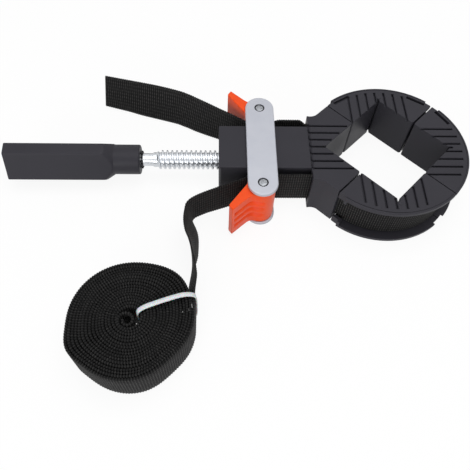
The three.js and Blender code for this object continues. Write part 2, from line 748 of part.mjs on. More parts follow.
// The plan of a lever on its rivet: x as on the clamp, and y outwards from the block.
function leverPlan() {
  const bias = radians(camBias);
  const hub = [-camEccentric * Math.sin(bias), -camEccentric * Math.cos(bias)];
  const tip = [-leverBack, leverOut];
  const length = Math.hypot(leverBack, leverOut);
  const outer = [tip[0] + (leverOut / length) * tipThick, tip[1] + (leverBack / length) * tipThick];
  const round = arc(hub[0], hub[1], camRadius, filletAngle, heelAngle, 2 * arcStep);
  // The tab widens from its tip to a fillet that blends into the hub.
  const foot = [hub[0] + camRadius * footShares[0], hub[1] + camRadius * footShares[1]];
  const valley = foot.map((place, i) => place + (outer[i] - place) * filletShare);
  const fillet = new THREE.QuadraticBezierCurve(
    new THREE.Vector2(...valley),
    new THREE.Vector2(...foot),
    new THREE.Vector2(...round[0]),
  ).getPoints(filletSteps).map((p) => [p.x, p.y]);
  return { hub, tip, outer, fillet, round: round.slice(1) };
}

function camLever() {
  const { hub, tip, outer, fillet, round } = leverPlan();
  const outline = [tip, outer, ...fillet, ...round];
  let lever = prism(outline, blockLow, blockHigh, plateEdge);
  const bushHole = rod(rivetRadius + bushWall + 2 * gap, blockLow - overrun, blockHigh + overrun);
  lever = lever.subtract(turnedUp(bushHole, 0, 0));
  const room = rivetRadius + bushWall + 2 * (springWire + springClear) + 2 * gap;
  const springRoom = blockHigh - springPitch * (springTurns + 1);
  lever = lever.subtract(turnedUp(rod(room, springRoom, blockHigh + overrun), 0, 0));
  // Finger grooves along the tab and round under the hub.
  const start = outer.map((place, i) => place + (fillet[0][i] - place) * plainShare);
  const grooved = [start, ...fillet, ...round.slice(0, 3)];
  for (const share of ribShares) {
    const middle = blockLow + share * blockHeight;
    const strip = slotOutline(grooved, overrun, ribDepth);
    lever = lever.subtract(prism(strip, middle - ribHeight / 2, middle + ribHeight / 2));
  }
  for (let i = 0; i < camTeeth; i += 1) {
    const angle = radians(-90 + (i - (camTeeth - 1) / 2) * camToothAngle);
    const at = (radius, by) => [
      radius * Math.cos(angle + by), radius * Math.sin(angle + by),
    ];
    const wide = radians(camToothAngle / 3);
    const cut = [at(camRadius - camTooth, 0), at(camRadius + overrun, -wide), at(camRadius + overrun, wide)];
    lever = lever.subtract(prism(cut.map(([x, y]) => [x + hub[0], y + hub[1]]), 0, topPlateHigh));
  }
  return lever;
}

// The torsion spring round the bush, in the lever's counterbore.
function camSpring() {
  const radius = rivetRadius + gap + bushWall + springClear + springWire;
  const base = blockHigh - springPitch * (springTurns + 1) + gap + springWire;
  const ring = (i) => {
    const angle = (2 * Math.PI * i) / springSteps;
    const out = new THREE.Vector3(Math.cos(angle), Math.sin(angle), 0);
    const middle = out.clone().multiplyScalar(radius).setZ(base + (springPitch * i) / springSteps);
    return arc(0, 0, springWire, 360 - 360 / springSides, 0, 360 / springSides)
      .map(([across, up]) => middle.clone().addScaledVector(out, across).setZ(middle.z + up));
  };
  return loft(Array.from({ length: springSteps * springTurns + 1 }, (_, i) => ring(i)));
}

// Band

// The stretch from the cam to the front jaw; bow is how far it stands off its line.
function sideRun(side, bow) {
  const [from, to] = [-camRadius * runStartShare, bendStart - gap];
  const route = Array.from({ length: runSteps + 1 }, (_, i) => {
    const x = from + ((to - from) * i) / runSteps;
    const rise = THREE.MathUtils.smoothstep(x, camRadius * bowShares[0], camRadius + mouthDepth);
    const fall = 1 - THREE.MathUtils.smoothstep(x, jawBack * bowShares[1], jawBack + gap);
    return [x, side * (runOffset + bow * rise * fall), (bandLow + bandHigh) / 2, 0];
  });
  return strap(route);
}

// The stretch from inside the front jaw round to the middle of a side jaw.
function wrap(side) {
  const middle = (bandLow + bandHigh) / 2;
  const last = 90 + THREE.MathUtils.radToDeg(gap / 2 / bandRadius);
  const route = [...channelRoute(bendStart).slice(1, -1), ...arc(ringAhead, 0, bandRadius, 135, last)];
  return strap(onSide(route.map(([x, y]) => [x, y, middle, 0]), side));
}

// The stretch from the middle of a side jaw to the middle of the end jaw.
function endWrap(side) {
  const middle = (bandLow + bandHigh) / 2;
  const trim = THREE.MathUtils.radToDeg(gap / 2 / bandRadius);
  const route = arc(ringAhead, 0, bandRadius, 90 - trim, trim);
  return strap(onSide(route.map(([x, y]) => [x, y, middle, 0]), side));
}

const coilLow = tieThick + gap;

// The coil's line: a straight start, the loops, and the inner end's curl.
function coilLine() {
  const pitch = (coilRadius - coilEye) / coilTurns;
  const [x, y] = coilMiddle;
  const near = (angle, middle, spread) => {
    const off = ((((angle - middle) % 360) + 540) % 360) - 180;
    return Math.exp(-((off / spread) ** 2));
  };
  const swell = (angle) => cornerShare * near(angle, cornerAngle, cornerSpread)
    + flatShare * near(angle, flatAngle, flatSpread) + shoulderShare * near(angle, shoulderAngle, shoulderSpread);
  const outermost = coilRadius * (1 + swell(0));
  const line = [1, 0.5].map((share) => [x + outermost, y + coilLead * share]);
  const loops = coilTurns * stepsPerLoop;
  for (let i = 0; i <= loops; i += 1) {
    const angle = (-360 * i) / stepsPerLoop;
    const radius = (coilRadius - (pitch * i) / stepsPerLoop) * (1 + swell(angle) * (1 - i / loops));
    line.push([x + radius * Math.cos(radians(angle)), y + radius * Math.sin(radians(angle))]);
  }
  const hook = Math.round((coilHook / 360) * stepsPerLoop);
  for (let i = 1; i <= hook; i += 1) {
    const angle = radians((-coilHook * i) / hook);
    const radius = coilEye + ((hookRadius - coilEye) * i) / hook;
    line.push([x + radius * Math.cos(angle), y + radius * Math.sin(angle)]);
  }
  return line;
}

// The least space between one loop of a line and the next, face to face.
function leastGap(line) {
  let least = Infinity;
  for (let i = 0; i < line.length; i += 1) {
    for (let j = i + stepsPerLoop / 2; j < line.length - 1; j += 1) {
      const [a, b, p] = [line[j], line[j + 1], line[i]];
      const [dx, dy] = [b[0] - a[0], b[1] - a[1]];
      const share = ((p[0] - a[0]) * dx + (p[1] - a[1]) * dy) / (dx * dx + dy * dy);
      const at = Math.min(1, Math.max(0, share));
      least = Math.min(least, Math.hypot(p[0] - a[0] - at * dx, p[1] - a[1] - at * dy));
    }
  }
  return least - bandThick;
}

function coil() {
  const line = coilLine();
  console.log('least gap between the coil\'s loops, mm:', leastGap(line).toFixed(2));
  return strap(line.map(([x, y]) => [x, y, coilLow + bandWidth / 2, 0]));
}

// The tie: one flat loop through the coil's eye, under it, up its outside and over the top.
function tie() {
  const along = new THREE.Vector3(Math.cos(radians(tieAngle)), Math.sin(radians(tieAngle)), 0);
  const across = new THREE.Vector3(-along.y, along.x, 0);
  const start = new THREE.Vector3(coilMiddle[0] + tieStart[0], coilMiddle[1] + tieStart[1], 0);
  const half = tieThick / 2;
  const reach = (coilRadius - tieStart[0] + bandThick / 2 + 3 * gap + half) / along.x;
  const [low, high] = [half, coilLow + bandWidth + gap + half];
  const r = tieRound;
  const corners = [[r, low + r, 180], [reach - r, low + r, 270], [reach - r, high - r, 0], [r, high - r, 90]];
  const line = corners.flatMap(([s, z, from]) => arc(s, z, r, from, from + 90, 6 * arcStep));
  const rings = line.map(([s, z], i) => {
    const [a, b] = [line.at(i - 1), line[(i + 1) % line.length]];
    const length = Math.hypot(b[0] - a[0], b[1] - a[1]);
    const out = along.clone().multiplyScalar((b[1] - a[1]) / length).setZ(-(b[0] - a[0]) / length);
    const middle = start.clone().addScaledVector(along, s).setZ(z);
    const corner = (u, v) => middle.clone()
      .addScaledVector(out, (u * tieThick) / 2).addScaledVector(across, (v * tieWidth) / 2);
    return [corner(-1, -1), corner(1, -1), corner(1, 1), corner(-1, 1)];
  });
  return loft(rings, true);
}

// Materials, one of its own for each piece

const finishes = {
  darkPlastic: { color: '#424146', roughness: 0.55, metalness: 0 },
  orangePlastic: { color: '#ff5f2d', roughness: 0.42, metalness: 0 },
  platedSteel: { color: '#c0c2cb', roughness: 0.45, metalness: 0.6 },
  brightSteel: { color: '#cfd2d6', roughness: 0.25, metalness: 1 },
  blackSteel: { color: '#1d1c1e', roughness: 0.5, metalness: 0.6 },
  webbing: { color: '#1b1b1c', roughness: 0.9, metalness: 0 },
  clearNylon: { color: '#e8eaec', roughness: 0.4, metalness: 0 },
};

const clamp = new THREE.Group();

function add(name, shape, finish, x = 0, y = 0, turn = 0) {
  const geometry = shape.isBufferGeometry ? shape : geometryOf(shape);
  const mesh = new THREE.Mesh(geometry, new THREE.MeshStandardMaterial(finishes[finish]));
  mesh.name = name;
  mesh.position.set(x, y, 0);
  mesh.rotation.z = radians(turn);
  clamp.add(mesh);
  return mesh;
}

add('block_housing', block(), 'darkPlastic');
add('spindle_nut', nut(), 'platedSteel');
add('yoke_plate_bottom', yokePlate(plateThick, 0), 'platedSteel');
add('yoke_plate_top', yokePlate(topPlateLow, topPlateHigh), 'platedSteel');

for (const [name, side] of [['near', -1], ['far', 1]]) {
  add(`rivet_${name}`, rivet(side * rivetReach), 'brightSteel');
  add(`rivet_bush_${name}`, rivetBush(side * rivetReach), 'brightSteel');
  const lever = add(`cam_lever_${name}`, camLever(), 'orangePlastic', 0, side * rivetReach);
  lever.scale.y = side;
  const spring = add(`cam_spring_${name}`, camSpring(), 'brightSteel', 0, side * rivetReach);
  spring.scale.y = side;
}

add('spindle', spindle(), 'brightSteel');
add('handle_grip', grip(), 'darkPlastic');
add('shank_washer', washer(), 'blackSteel');
add('retaining_clip', clip(), 'platedSteel');
add('thrust_pad', thrustPad(), 'brightSteel');

add('front_jaw', frontJaw(), 'darkPlastic');
add('near_jaw', looseJaw(slackSeam, tightSeam, 1, grooveShift, [-1], true), 'darkPlastic', ringAhead, 0, 270);
add('end_jaw', looseJaw(tightSeam, openSeam, 1, 0, [1], false), 'darkPlastic', ringAhead, 0, 0);
add('far_jaw', looseJaw(openSeam, tightSeam, -1, grooveShift, [-1, 1], false), 'darkPlastic', ringAhead, 0, 90);

add('band_side_near', sideRun(-1, 0), 'webbing');
add('band_side_far', sideRun(1, farBow), 'webbing');
for (const [name, side] of [['near', -1], ['far', 1]]) {
  add(`band_wrap_${name}`, wrap(side), 'webbing');
  add(`band_end_${name}`, endWrap(side), 'webbing');
}
add('band_tail', strap(freeRoute(tailRoute, 1)), 'webbing');
add('band_lead', strap(freeRoute(leadRoute, -1)), 'webbing');
add('band_coil', coil(), 'webbing');
add('coil_tie', tie(), 'clearNylon');

export default clamp;
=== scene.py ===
# A band clamp, dressed over its frame: a riveted yoke holds a moulded block and two orange cam
# levers, a bright screw with a three-sided grip pushes the front jaw out of the block, and black
# webbing runs from cam to cam round four grooved corner jaws. The spare band lies coiled and tied.
# Metres, +Z up, +X from the grip to the jaws, -Y the near side.

import math

import bpy
import numpy as np
from mathutils import Matrix, Vector


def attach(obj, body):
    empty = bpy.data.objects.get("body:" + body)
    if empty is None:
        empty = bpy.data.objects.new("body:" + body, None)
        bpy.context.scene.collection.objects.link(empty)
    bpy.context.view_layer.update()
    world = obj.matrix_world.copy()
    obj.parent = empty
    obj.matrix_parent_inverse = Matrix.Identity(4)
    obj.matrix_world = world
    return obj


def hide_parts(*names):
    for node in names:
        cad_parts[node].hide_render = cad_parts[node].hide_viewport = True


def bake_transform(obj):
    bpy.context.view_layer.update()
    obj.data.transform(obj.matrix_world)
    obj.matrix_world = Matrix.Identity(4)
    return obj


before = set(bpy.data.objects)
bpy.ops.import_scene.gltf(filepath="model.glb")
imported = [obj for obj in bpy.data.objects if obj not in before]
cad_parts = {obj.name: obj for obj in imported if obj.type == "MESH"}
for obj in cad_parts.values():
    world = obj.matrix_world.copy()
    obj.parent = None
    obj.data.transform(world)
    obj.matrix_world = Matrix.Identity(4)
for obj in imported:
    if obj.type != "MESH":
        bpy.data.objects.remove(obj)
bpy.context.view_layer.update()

mm = 0.001

# Camera
# The photographer stood on the near side, close above the clamp, and held the camera a little
# turned and tilted. Its focal length is given in pixels of the photograph.
PHOTO_SIDE = 470
FOCAL_PIXELS = 535.3
CAMERA_PLACE = Vector((-27.03, -214.47, 285.79)) * mm
LOOK_DOWN = math.radians(59.374)
LOOK_RIGHT = math.radians(3.795)
TILT = math.radians(3.35)

camera = bpy.data.objects.new("camera", bpy.data.cameras.new("camera"))
bpy.context.scene.collection.objects.link(camera)
camera.data.lens = camera.data.sensor_width * FOCAL_PIXELS / PHOTO_SIDE
camera.data.clip_start = 10 * mm
camera.matrix_world = (
    Matrix.Translation(CAMERA_PLACE)
    @ Matrix.Rotation(-LOOK_RIGHT, 4, "Z")
    @ Matrix.Rotation(math.pi / 2 - LOOK_DOWN, 4, "X")
    @ Matrix.Rotation(TILT, 4, "Z")
)
bpy.context.scene.camera = camera
bpy.context.scene.view_settings.view_transform = "Standard"

# Webbing
# Black polyester webbing, 25 mm wide and 1 mm thick, woven with cross ribs and a bound selvedge on
# both sides. Spun yarn is dull, so it has a soft sheen and no sharp highlight; its ribs are painted
# grey along their backs as a highlight and black between them as shade.
BAND_WIDTH = 25 * mm
BAND_THICK = 1 * mm
BAND_MIDDLE = 15.3 * mm  # height of its middle wherever the clamp holds it
RIB_PITCH = 1.45 * mm
RIB_MARKS = 3  # rows of points along one rib
RIB_DEPTH = 0.22 * mm  # of the valley between two ribs, on each face
SELVEDGE_DEPTH = 0.35 * mm  # and at the band's edges
YARN_PITCH = 2.5 * mm  # between rows of warp yarns, drawn coarser than single yarns to show
YARN_HEIGHT = 0.08 * mm
BLACK_YARN = "#0b0b0c"
PALE_YARN_AND_RIB_HIGHLIGHT = "#464544"
# The ribs' share paints a highlight along each rib's back and shade in the valleys between ribs.
RIB_HIGHLIGHT_SHARE, YARN_SHARE, FUZZ_SHARE = -1.6, 0.45, 3.0  # of the ribs, yarns and fuzz in the tone
FUZZ_SCALE = 1.7  # clumps of fuzz to a rib
TONE_LOW, TONE_HIGH, TONE_POWER = 0.6, 3.6, 2.4


def linear(code):
    """A linear colour with alpha from an sRGB hex code."""
    parts = [int(code[i : i + 2], 16) / 255 for i in (1, 3, 5)]
    return tuple(((c + 0.055) / 1.055) ** 2.4 if c > 0.04045 else c / 12.92 for c in parts) + (1.0,)


def put(material, kind, sockets=None, **settings):
    """Adds a shader node with its settings; a socket gets a value, or a link from another socket."""
    tree = material.node_tree
    node = tree.nodes.new(kind)
    for name, value in settings.items():
        setattr(node, name, value)
    for name, value in (sockets or {}).items():
        if isinstance(value, bpy.types.NodeSocket):
            tree.links.new(value, node.inputs[name])
        else:
            node.inputs[name].default_value = value
    return node


def new_material(name, **sockets):
    """A material, with the constant sockets of its Principled surface set."""
    material = bpy.data.materials.new(name)
    material.use_nodes = True
    surface = material.node_tree.nodes["Principled BSDF"]
    for socket, value in sockets.items():
        surface.inputs[socket.replace("_", " ")].default_value = value
    return material


def coat(material, **sockets):
    """Links the outputs of nodes to the sockets of a material's surface."""
    surface = material.node_tree.nodes["Principled BSDF"]
    for socket, output in sockets.items():
        material.node_tree.links.new(output, surface.inputs[socket.replace("_", " ")])


woven = new_material(
    "woven_polyester",
    Roughness=0.75, Specular_IOR_Level=0.12, Sheen_Weight=0.015, Sheen_Roughness=0.5, IOR=1.57,
)
cloth = put(woven, "ShaderNodeUVMap", uv_map="weave").outputs["UV"]
places = put(woven, "ShaderNodeSeparateXYZ", {0: cloth}).outputs
# A highlight is painted along each rib's back and shade in the valley between ribs, and the warp yarns show
# as rows along the band.
rib_turn = put(woven, "ShaderNodeMath", {0: places["X"], 1: 2 * math.pi}, operation="MULTIPLY")
rib = put(woven, "ShaderNodeMath", {0: rib_turn.outputs[0]}, operation="COSINE")
yarn_turn = put(
    woven, "ShaderNodeMath", {0: places["Y"], 1: 2 * math.pi, 2: math.pi}, operation="MULTIPLY_ADD",
)
yarn = put(woven, "ShaderNodeMath", {0: yarn_turn.outputs[0]}, operation="COSINE")
yarn_share = put(woven, "ShaderNodeMath", {0: yarn.outputs[0], 1: YARN_SHARE}, operation="MULTIPLY")
ribs_and_yarns = put(
    woven, "ShaderNodeMath", {0: rib.outputs[0], 1: RIB_HIGHLIGHT_SHARE, 2: yarn_share.outputs[0]},
    operation="MULTIPLY_ADD",
)
fuzz = put(woven, "ShaderNodeTexNoise", {"Vector": cloth, "Scale": FUZZ_SCALE, "Detail": 4.0})
relief = put(
    woven, "ShaderNodeMath", {0: fuzz.outputs["Fac"], 1: FUZZ_SHARE, 2: ribs_and_yarns.outputs[0]},
    operation="MULTIPLY_ADD",
)
bump = put(woven, "ShaderNodeBump", {"Height": yarn.outputs[0], "Strength": 0.8, "Distance": YARN_HEIGHT})
tone = put(woven, "ShaderNodeMapRange", {
    "Value": relief.outputs[0], "From Min": TONE_LOW, "From Max": TONE_HIGH,
})
tone_with_highlight = put(woven, "ShaderNodeMath", {0: tone.outputs["Result"], 1: TONE_POWER}, operation="POWER")
# Black in the painted shade of the rib valleys, grey in the painted highlight on the rib backs and where fuzz
# and yarn rows lift the tone.
yarns = put(
    woven, "ShaderNodeMix", {0: tone_with_highlight.outputs[0], 6: linear(BLACK_YARN), 7: linear(PALE_YARN_AND_RIB_HIGHLIGHT)},
    data_type="RGBA",
)
coat(woven, Base_Color=yarns.outputs[2], Normal=bump.outputs["Normal"])


def mesh_object(name, points, faces, material):
    """A smooth mesh object of one material, from points in metres and faces that face outwards."""
    mesh = bpy.data.meshes.new(name)
    mesh.from_pydata([tuple(p) for p in points], [], [list(map(int, f)) for f in faces])
    mesh.update()
    mesh.shade_smooth()
    mesh.materials.append(material)
    made = bpy.data.objects.new(name, mesh)
    bpy.context.scene.collection.objects.link(made)
    return made


def skin(rings, closed=False):
    """(points, faces) of a skin over rings of points, capped at both ends or closed on itself."""
    rings = np.array(rings)
    rows, sides = rings.shape[:2]
    faces = []
    for i in range(rows if closed else rows - 1):
        a, b = i * sides, (i + 1) % rows * sides
        faces += [(a + k, a + (k + 1) % sides, b + (k + 1) % sides, b + k) for k in range(sides)]
    if not closed:
        faces += [tuple(range(sides))[::-1], tuple(range((rows - 1) * sides, rows * sides))]
    return rings.reshape(-1, 3), faces


def smooth_line(points, step):
    """A smooth line through points of any size, with a place every step or so."""
    points = np.array(points, float)
    around = np.vstack([2 * points[0] - points[1], points, 2 * points[-1] - points[-2]])
    line = []
    for a, b, c, d in zip(around, around[1:], around[2:], around[3:]):
        places_between = max(2, int(np.linalg.norm((c - b)[:3]) / step))
        for t in np.linspace(0, 1, places_between, endpoint=False):
            square = (2 * a - 5 * b + 4 * c - d) * t**2
            cube = (3 * b - a - 3 * c + d) * t**3
            line.append((2 * b + (c - a) * t + square + cube) / 2)
    return np.array(line + [points[-1]])


def length_of(line):
    """The distance from a line's start to each of its points."""
    return np.concatenate([[0], np.cumsum(np.linalg.norm(np.diff(line[:, :3], axis=0), axis=1))])


def along_and_left(plan):
    """A plan line's unit heading at each of its points, and the direction to the left of it."""
    heading = np.gradient(plan, axis=0)
    heading /= np.linalg.norm(heading, axis=1)[:, None]
    return heading, np.stack([-heading[:, 1], heading[:, 0]], axis=1)


# The band's section: shares of half its thickness and of half its width, once round.
FACE_SHARES = (-0.97, -0.5, 0, 0.5, 0.97)
BAND_SECTION = (
    [(-1, w) for w in FACE_SHARES] + [(-0.5, 1), (0.5, 1)]
    + [(1, -w) for w in FACE_SHARES] + [(0.5, -1), (-0.5, -1)]
)
CUT_REACH = 9 * mm  # how far back a slanted cut draws the ribs with it


def webbing(name, line, slant=0.0, thick=BAND_THICK):
    """Ribbed webbing on its edge, and its length, along rows of [x, y, height of its middle, lean].

    The lean is in radians, and slant is how far the far end's upper corner is cut back.
    """
    reach = length_of(line)
    ribs = max(2, round(reach[-1] / RIB_PITCH))
    marks = np.linspace(0, reach[-1], RIB_MARKS * ribs + 1)
    x, y, height, lean = (np.interp(marks, reach, line[:, k]) for k in range(4))
    heading, left = along_and_left(np.stack([x, y], axis=1))
    flat = np.column_stack([left * np.cos(lean)[:, None], -np.sin(lean)])
    tall = np.column_stack([left * np.sin(lean)[:, None], np.cos(lean)])
    valley = np.arange(len(marks)) % RIB_MARKS == 0
    half_thick = thick / 2 - RIB_DEPTH * valley
    half_width = BAND_WIDTH / 2 - SELVEDGE_DEPTH * valley
    cut = slant * np.clip(1 - (reach[-1] - marks) / CUT_REACH, 0, 1) ** 2
    middle = np.column_stack([x, y, height])
    forward = np.column_stack([heading, np.zeros(len(marks))])
    rings = []
    for s, w in BAND_SECTION:
        face = middle + flat * (s * half_thick)[:, None]
        rings.append(face + tall * (w * half_width)[:, None] - forward * (w * cut)[:, None])
    band = mesh_object(name, *skin(np.stack(rings, axis=1)[:, ::-1]), woven)
    # The weave's own coordinates: ribs along the band and yarns across it.
    ribs_along = np.repeat(marks / RIB_PITCH, len(BAND_SECTION))
    yarns_across = np.tile([w * BAND_WIDTH / 2 / YARN_PITCH for _, w in BAND_SECTION[::-1]], len(marks))
    corners = np.empty(len(band.data.loops), int)
    band.data.loops.foreach_get("vertex_index", corners)
    weave = band.data.uv_layers.new(name="weave")
    weave.data.foreach_set("uv", np.column_stack([ribs_along, yarns_across])[corners].ravel())
    return band, reach[-1]


# Free tail of the band
# The short end comes out past the far cam and stands on its edge on the bench, leaning outwards.
# It was cut off aslant with a hot knife. Points: along X, out from the run's line, height, lean.
RUN_OFFSET = 19.5 * mm  # from the clamp's axis to the line on which the band passes the block
TAIL_ROUTE = [
    (-4.3, 0.4, 15.3, 0), (-6.4, 1.5, 15.3, -1), (-9, 3.1, 15.2, -2), (-13, 5.4, 15, -4),
    (-19, 8.8, 14.7, -8), (-26, 12.8, 14.2, -11), (-33, 16.9, 13.7, -15), (-40, 21.1, 13.2, -18),
    (-45, 24.2, 13, -19), (-49, 26.5, 12.8, -20), (-53, 28.6, 12.6, -20), (-61, 31.6, 12.3, -21),
    (-70, 34.4, 12.2, -21), (-79, 36.8, 12.3, -19), (-88, 39.3, 12.5, -15), (-97, 41.6, 12.7, -13),
    (-104.8, 43.7, 12.8, -11),
]
TAIL_SLANT = 1.1 * mm
LINE_STEP = 0.5 * mm  # between places along a free stretch's line


def free_line(route, side):
    """A free stretch's smooth line on the far side, 1, or the near one, -1."""
    rows = [(x * mm, side * (RUN_OFFSET + out * mm), z * mm, math.radians(lean)) for x, out, z, lean in route]
    return smooth_line(rows, LINE_STEP)


tail, tail_length = webbing("tail_webbing", free_line(TAIL_ROUTE, 1), TAIL_SLANT)
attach(tail, "yoke")
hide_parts("band_tail")

# Lead from the near cam to the coil
# The long end leaves the near cam, turns sharply towards the viewer and twists until it stands
# upright beside the coil, which it then enters.
LEAD_ROUTE = [
    (-4.3, 0.3, 15.3, 0), (-7, 1.1, 15.3, 0), (-12, 3.3, 15.2, 0), (-20, 6.5, 15, 0),
    (-27.2, 9.3, 14.9, 1), (-33.2, 11.6, 14.7, 2), (-37.7, 13.7, 14.6, 2), (-40.8, 15.5, 14.5, 2),
    (-42.7, 17.7, 14.4, -1), (-43.3, 20.6, 14.3, -8), (-42.9, 23.8, 14.2, -13),
    (-42.5, 27.8, 14.1, -17), (-42.2, 31.9, 14, -18), (-41.7, 37, 13.9, -16),
    (-40.9, 42, 13.9, -11), (-40.7, 46.1, 13.8, -6), (-40.8, 50.2, 13.8, -1),
    (-40.7, 53.8, 13.8, 3), (-40.7, 57.4, 13.8, 7), (-40.7, 61.5, 13.8, 10),
    (-40.6, 65.6, 13.8, 12), (-40.2, 69.6, 13.8, 9), (-39.8, 73.3, 13.8, 5), (-39.4, 77.5, 13.8, 1),
]

lead, lead_length = webbing("lead_webbing", free_line(LEAD_ROUTE, -1))
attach(lead, "yoke")
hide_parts("band_lead")

# Coil of spare band
# About two metres of band wound by hand on its edge into sixteen loops. It bulges beside the lead
# and at the corner across from it, is pressed in at its near right, and its inner end curls in the
# eye.
COIL_RADIUS = 32.5 * mm
COIL_EYE = 6.2 * mm
COIL_TURNS = 16
COIL_LEAD = 13 * mm  # its straight start
COIL_LOW = 1.3 * mm
COIL_SPLIT = 0.3 * mm  # between the end of the lead's piece and the start of the coil's
COIL_MIDDLE = Vector((
    LEAD_ROUTE[-1][0] * mm - COIL_RADIUS,
    -RUN_OFFSET - LEAD_ROUTE[-1][1] * mm - COIL_SPLIT - COIL_LEAD,
))
COIL_SWELLS = ((0.072, 208, 15), (-0.07, 315, 25), (0.1, 42, 27))  # share, middle and spread in degrees
HOOK_TURN = 560  # degrees that the inner end curls on
HOOK_RADIUS = 1.7 * mm
HOOK_SHIFT = Vector((-1.7, -1.3)) * mm  # of the curl's middle, away from the tie
HOOK_HASTE = 2.5  # how many times faster than the curl that shift is made
LOOP_STEPS = 96
LOOP_WANDER = 0.08 * mm  # how far a loop strays sideways
LOOP_RISE = 0.6 * mm  # and up or down
WANDER_WAVE = (0.021, 2.2, 0.0047)  # radians a step, the swing of that, and the swing's radians a step
RISE_WAVE = (0.0117, 1.7, 0.0031)
COIL_THICK = 1.42 * mm  # of the band where it is wound, with the air between its loops


def swell(angle):
    """How far a loop bulges at an angle, as a share of its radius."""
    return sum(
        share * math.exp(-((((angle - middle) % 360 + 540) % 360 - 180) / spread) ** 2)
        for share, middle, spread in COIL_SWELLS
    )


def uneven(step, rate, swing, slow):
    """A wave whose pace changes slowly."""
    return math.sin(rate * step + swing * math.sin(slow * step))


def coil_line():
    """The coil's rows: its straight start, its loops and the inner end's curl."""
    rows = [(COIL_RADIUS * (1 + swell(0)), COIL_LEAD * share, 0) for share in (1, 0.75, 0.5, 0.25)]
    loops = COIL_TURNS * LOOP_STEPS
    pitch = (COIL_RADIUS - COIL_EYE) / COIL_TURNS
    for i in range(loops + 1):
        angle, done = -360 * i / LOOP_STEPS, i / loops
        radius = (COIL_RADIUS - pitch * i / LOOP_STEPS) * (1 + swell(angle) * (1 - done))
        settled = min(1, 4 * done, 4 * (1 - done))  # the loops stray least near both ends
        radius += LOOP_WANDER * settled * uneven(i, *WANDER_WAVE)
        rise = LOOP_RISE * settled * uneven(i, *RISE_WAVE)
        rows.append((radius * math.cos(math.radians(angle)), radius * math.sin(math.radians(angle)), rise))
    for i in range(1, LOOP_STEPS + 1):
        share = i / LOOP_STEPS
        radius = COIL_EYE + (HOOK_RADIUS - COIL_EYE) * share
        angle = math.radians(-HOOK_TURN * share)
        shift = HOOK_SHIFT * min(1, HOOK_HASTE * share)
        rows.append((radius * math.cos(angle) + shift.x, radius * math.sin(angle) + shift.y, 0))
    rows = np.array(rows) + (*COIL_MIDDLE, COIL_LOW + BAND_WIDTH / 2)
    return np.column_stack([rows, np.zeros(len(rows))])


coil, coil_length = webbing("coil_webbing", coil_line(), thick=COIL_THICK)
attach(coil, "yoke")
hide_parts("band_coil")

# Coil tie
# A natural nylon tie, moulded and slightly translucent, goes down through the coil's eye, under
# the coil, up outside it and over the top in a low arch. It is white with a soft waxy gloss.
TIE_WIDTH = 2.6 * mm
TIE_THICK = 1 * mm
TIE_ANGLE = math.radians(17)
TIE_START = Vector((3.3, 2.8)) * mm  # from the coil's middle to the tie's inner run
# Places along the tie's line, sideways from it, and heights, once round.
TIE_ROUTE = [
    (0.2, 0, 24), (1.2, 0.3, 26.6), (4.5, 0.8, 28.0), (10, 1.1, 28.5), (17, 1.3, 28.8), (24, 1.4, 28.7),
    (28.2, 0.9, 28.2), (30.3, 0.3, 27.6), (31.3, 0.1, 26.4), (31.8, 0, 23), (31.8, 0, 14), (31.6, 0, 6),
    (31, 0, 1.6), (29, 0, 0.6), (22, 0, 0.56), (12, 0, 0.56), (3, 0, 0.6), (0.7, 0, 1.8), (0.2, 0, 6),
    (0.2, 0, 15),
]
TIE_STEP = 0.6 * mm
# The tie's section: shares of half its thickness and of half its width, once round.
TIE_SECTION = ((-1, 0.7), (-0.4, 1), (0.4, 1), (1, 0.7), (1, -0.7), (0.4, -1), (-0.4, -1), (-1, -0.7))
TIE_WHITE = "#e9ebee"
TIE_SHADE = "#cfd4da"
TIE_CLOUDS = 260.0  # to the metre, so about 4 mm each
TIE_DIMPLE = 0.05 * mm

nylon = new_material(
    "natural_nylon", Roughness=0.36, IOR=1.53, Subsurface_Weight=0.35, Subsurface_Scale=1.5 * mm,
)
body = put(nylon, "ShaderNodeTexCoord").outputs["Object"]
cloud = put(nylon, "ShaderNodeTexNoise", {"Vector": body, "Scale": TIE_CLOUDS, "Detail": 2.0}).outputs["Fac"]
milk = put(nylon, "ShaderNodeMix", {0: cloud, 6: linear(TIE_SHADE), 7: linear(TIE_WHITE)}, data_type="RGBA")
dimple = put(nylon, "ShaderNodeBump", {"Height": cloud, "Strength": 0.2, "Distance": TIE_DIMPLE})
coat(nylon, Base_Color=milk.outputs[2], Normal=dimple.outputs["Normal"])

forward = Vector((math.cos(TIE_ANGLE), math.sin(TIE_ANGLE), 0))
sideways = Vector((-forward.y, forward.x, 0))
tie_foot = Vector((*(COIL_MIDDLE + TIE_START), 0))
loop = smooth_line(np.array(TIE_ROUTE + TIE_ROUTE[:3]) * mm, TIE_STEP)
half = len(loop) // 2
back_again = half + np.argmin(np.linalg.norm(loop[half:] - loop[0], axis=1))
loop = loop[:back_again]
rings = []
for i, (s, w, z) in enumerate(loop):
    before, after = loop[i - 1], loop[(i + 1) % len(loop)]
    rise = Vector((after[0] - before[0], after[2] - before[2])).normalized()
    out = forward * -rise.y + Vector((0, 0, rise.x))
    place = tie_foot + forward * s + sideways * w + Vector((0, 0, z))
    rings.append([
        place + out * (a * TIE_THICK / 2) + sideways * (b * TIE_WIDTH / 2) for a, b in TIE_SECTION
    ])
tie = mesh_object("tie_loop", *skin(rings, closed=True), nylon)
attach(tie, "yoke")
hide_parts("coil_tie")
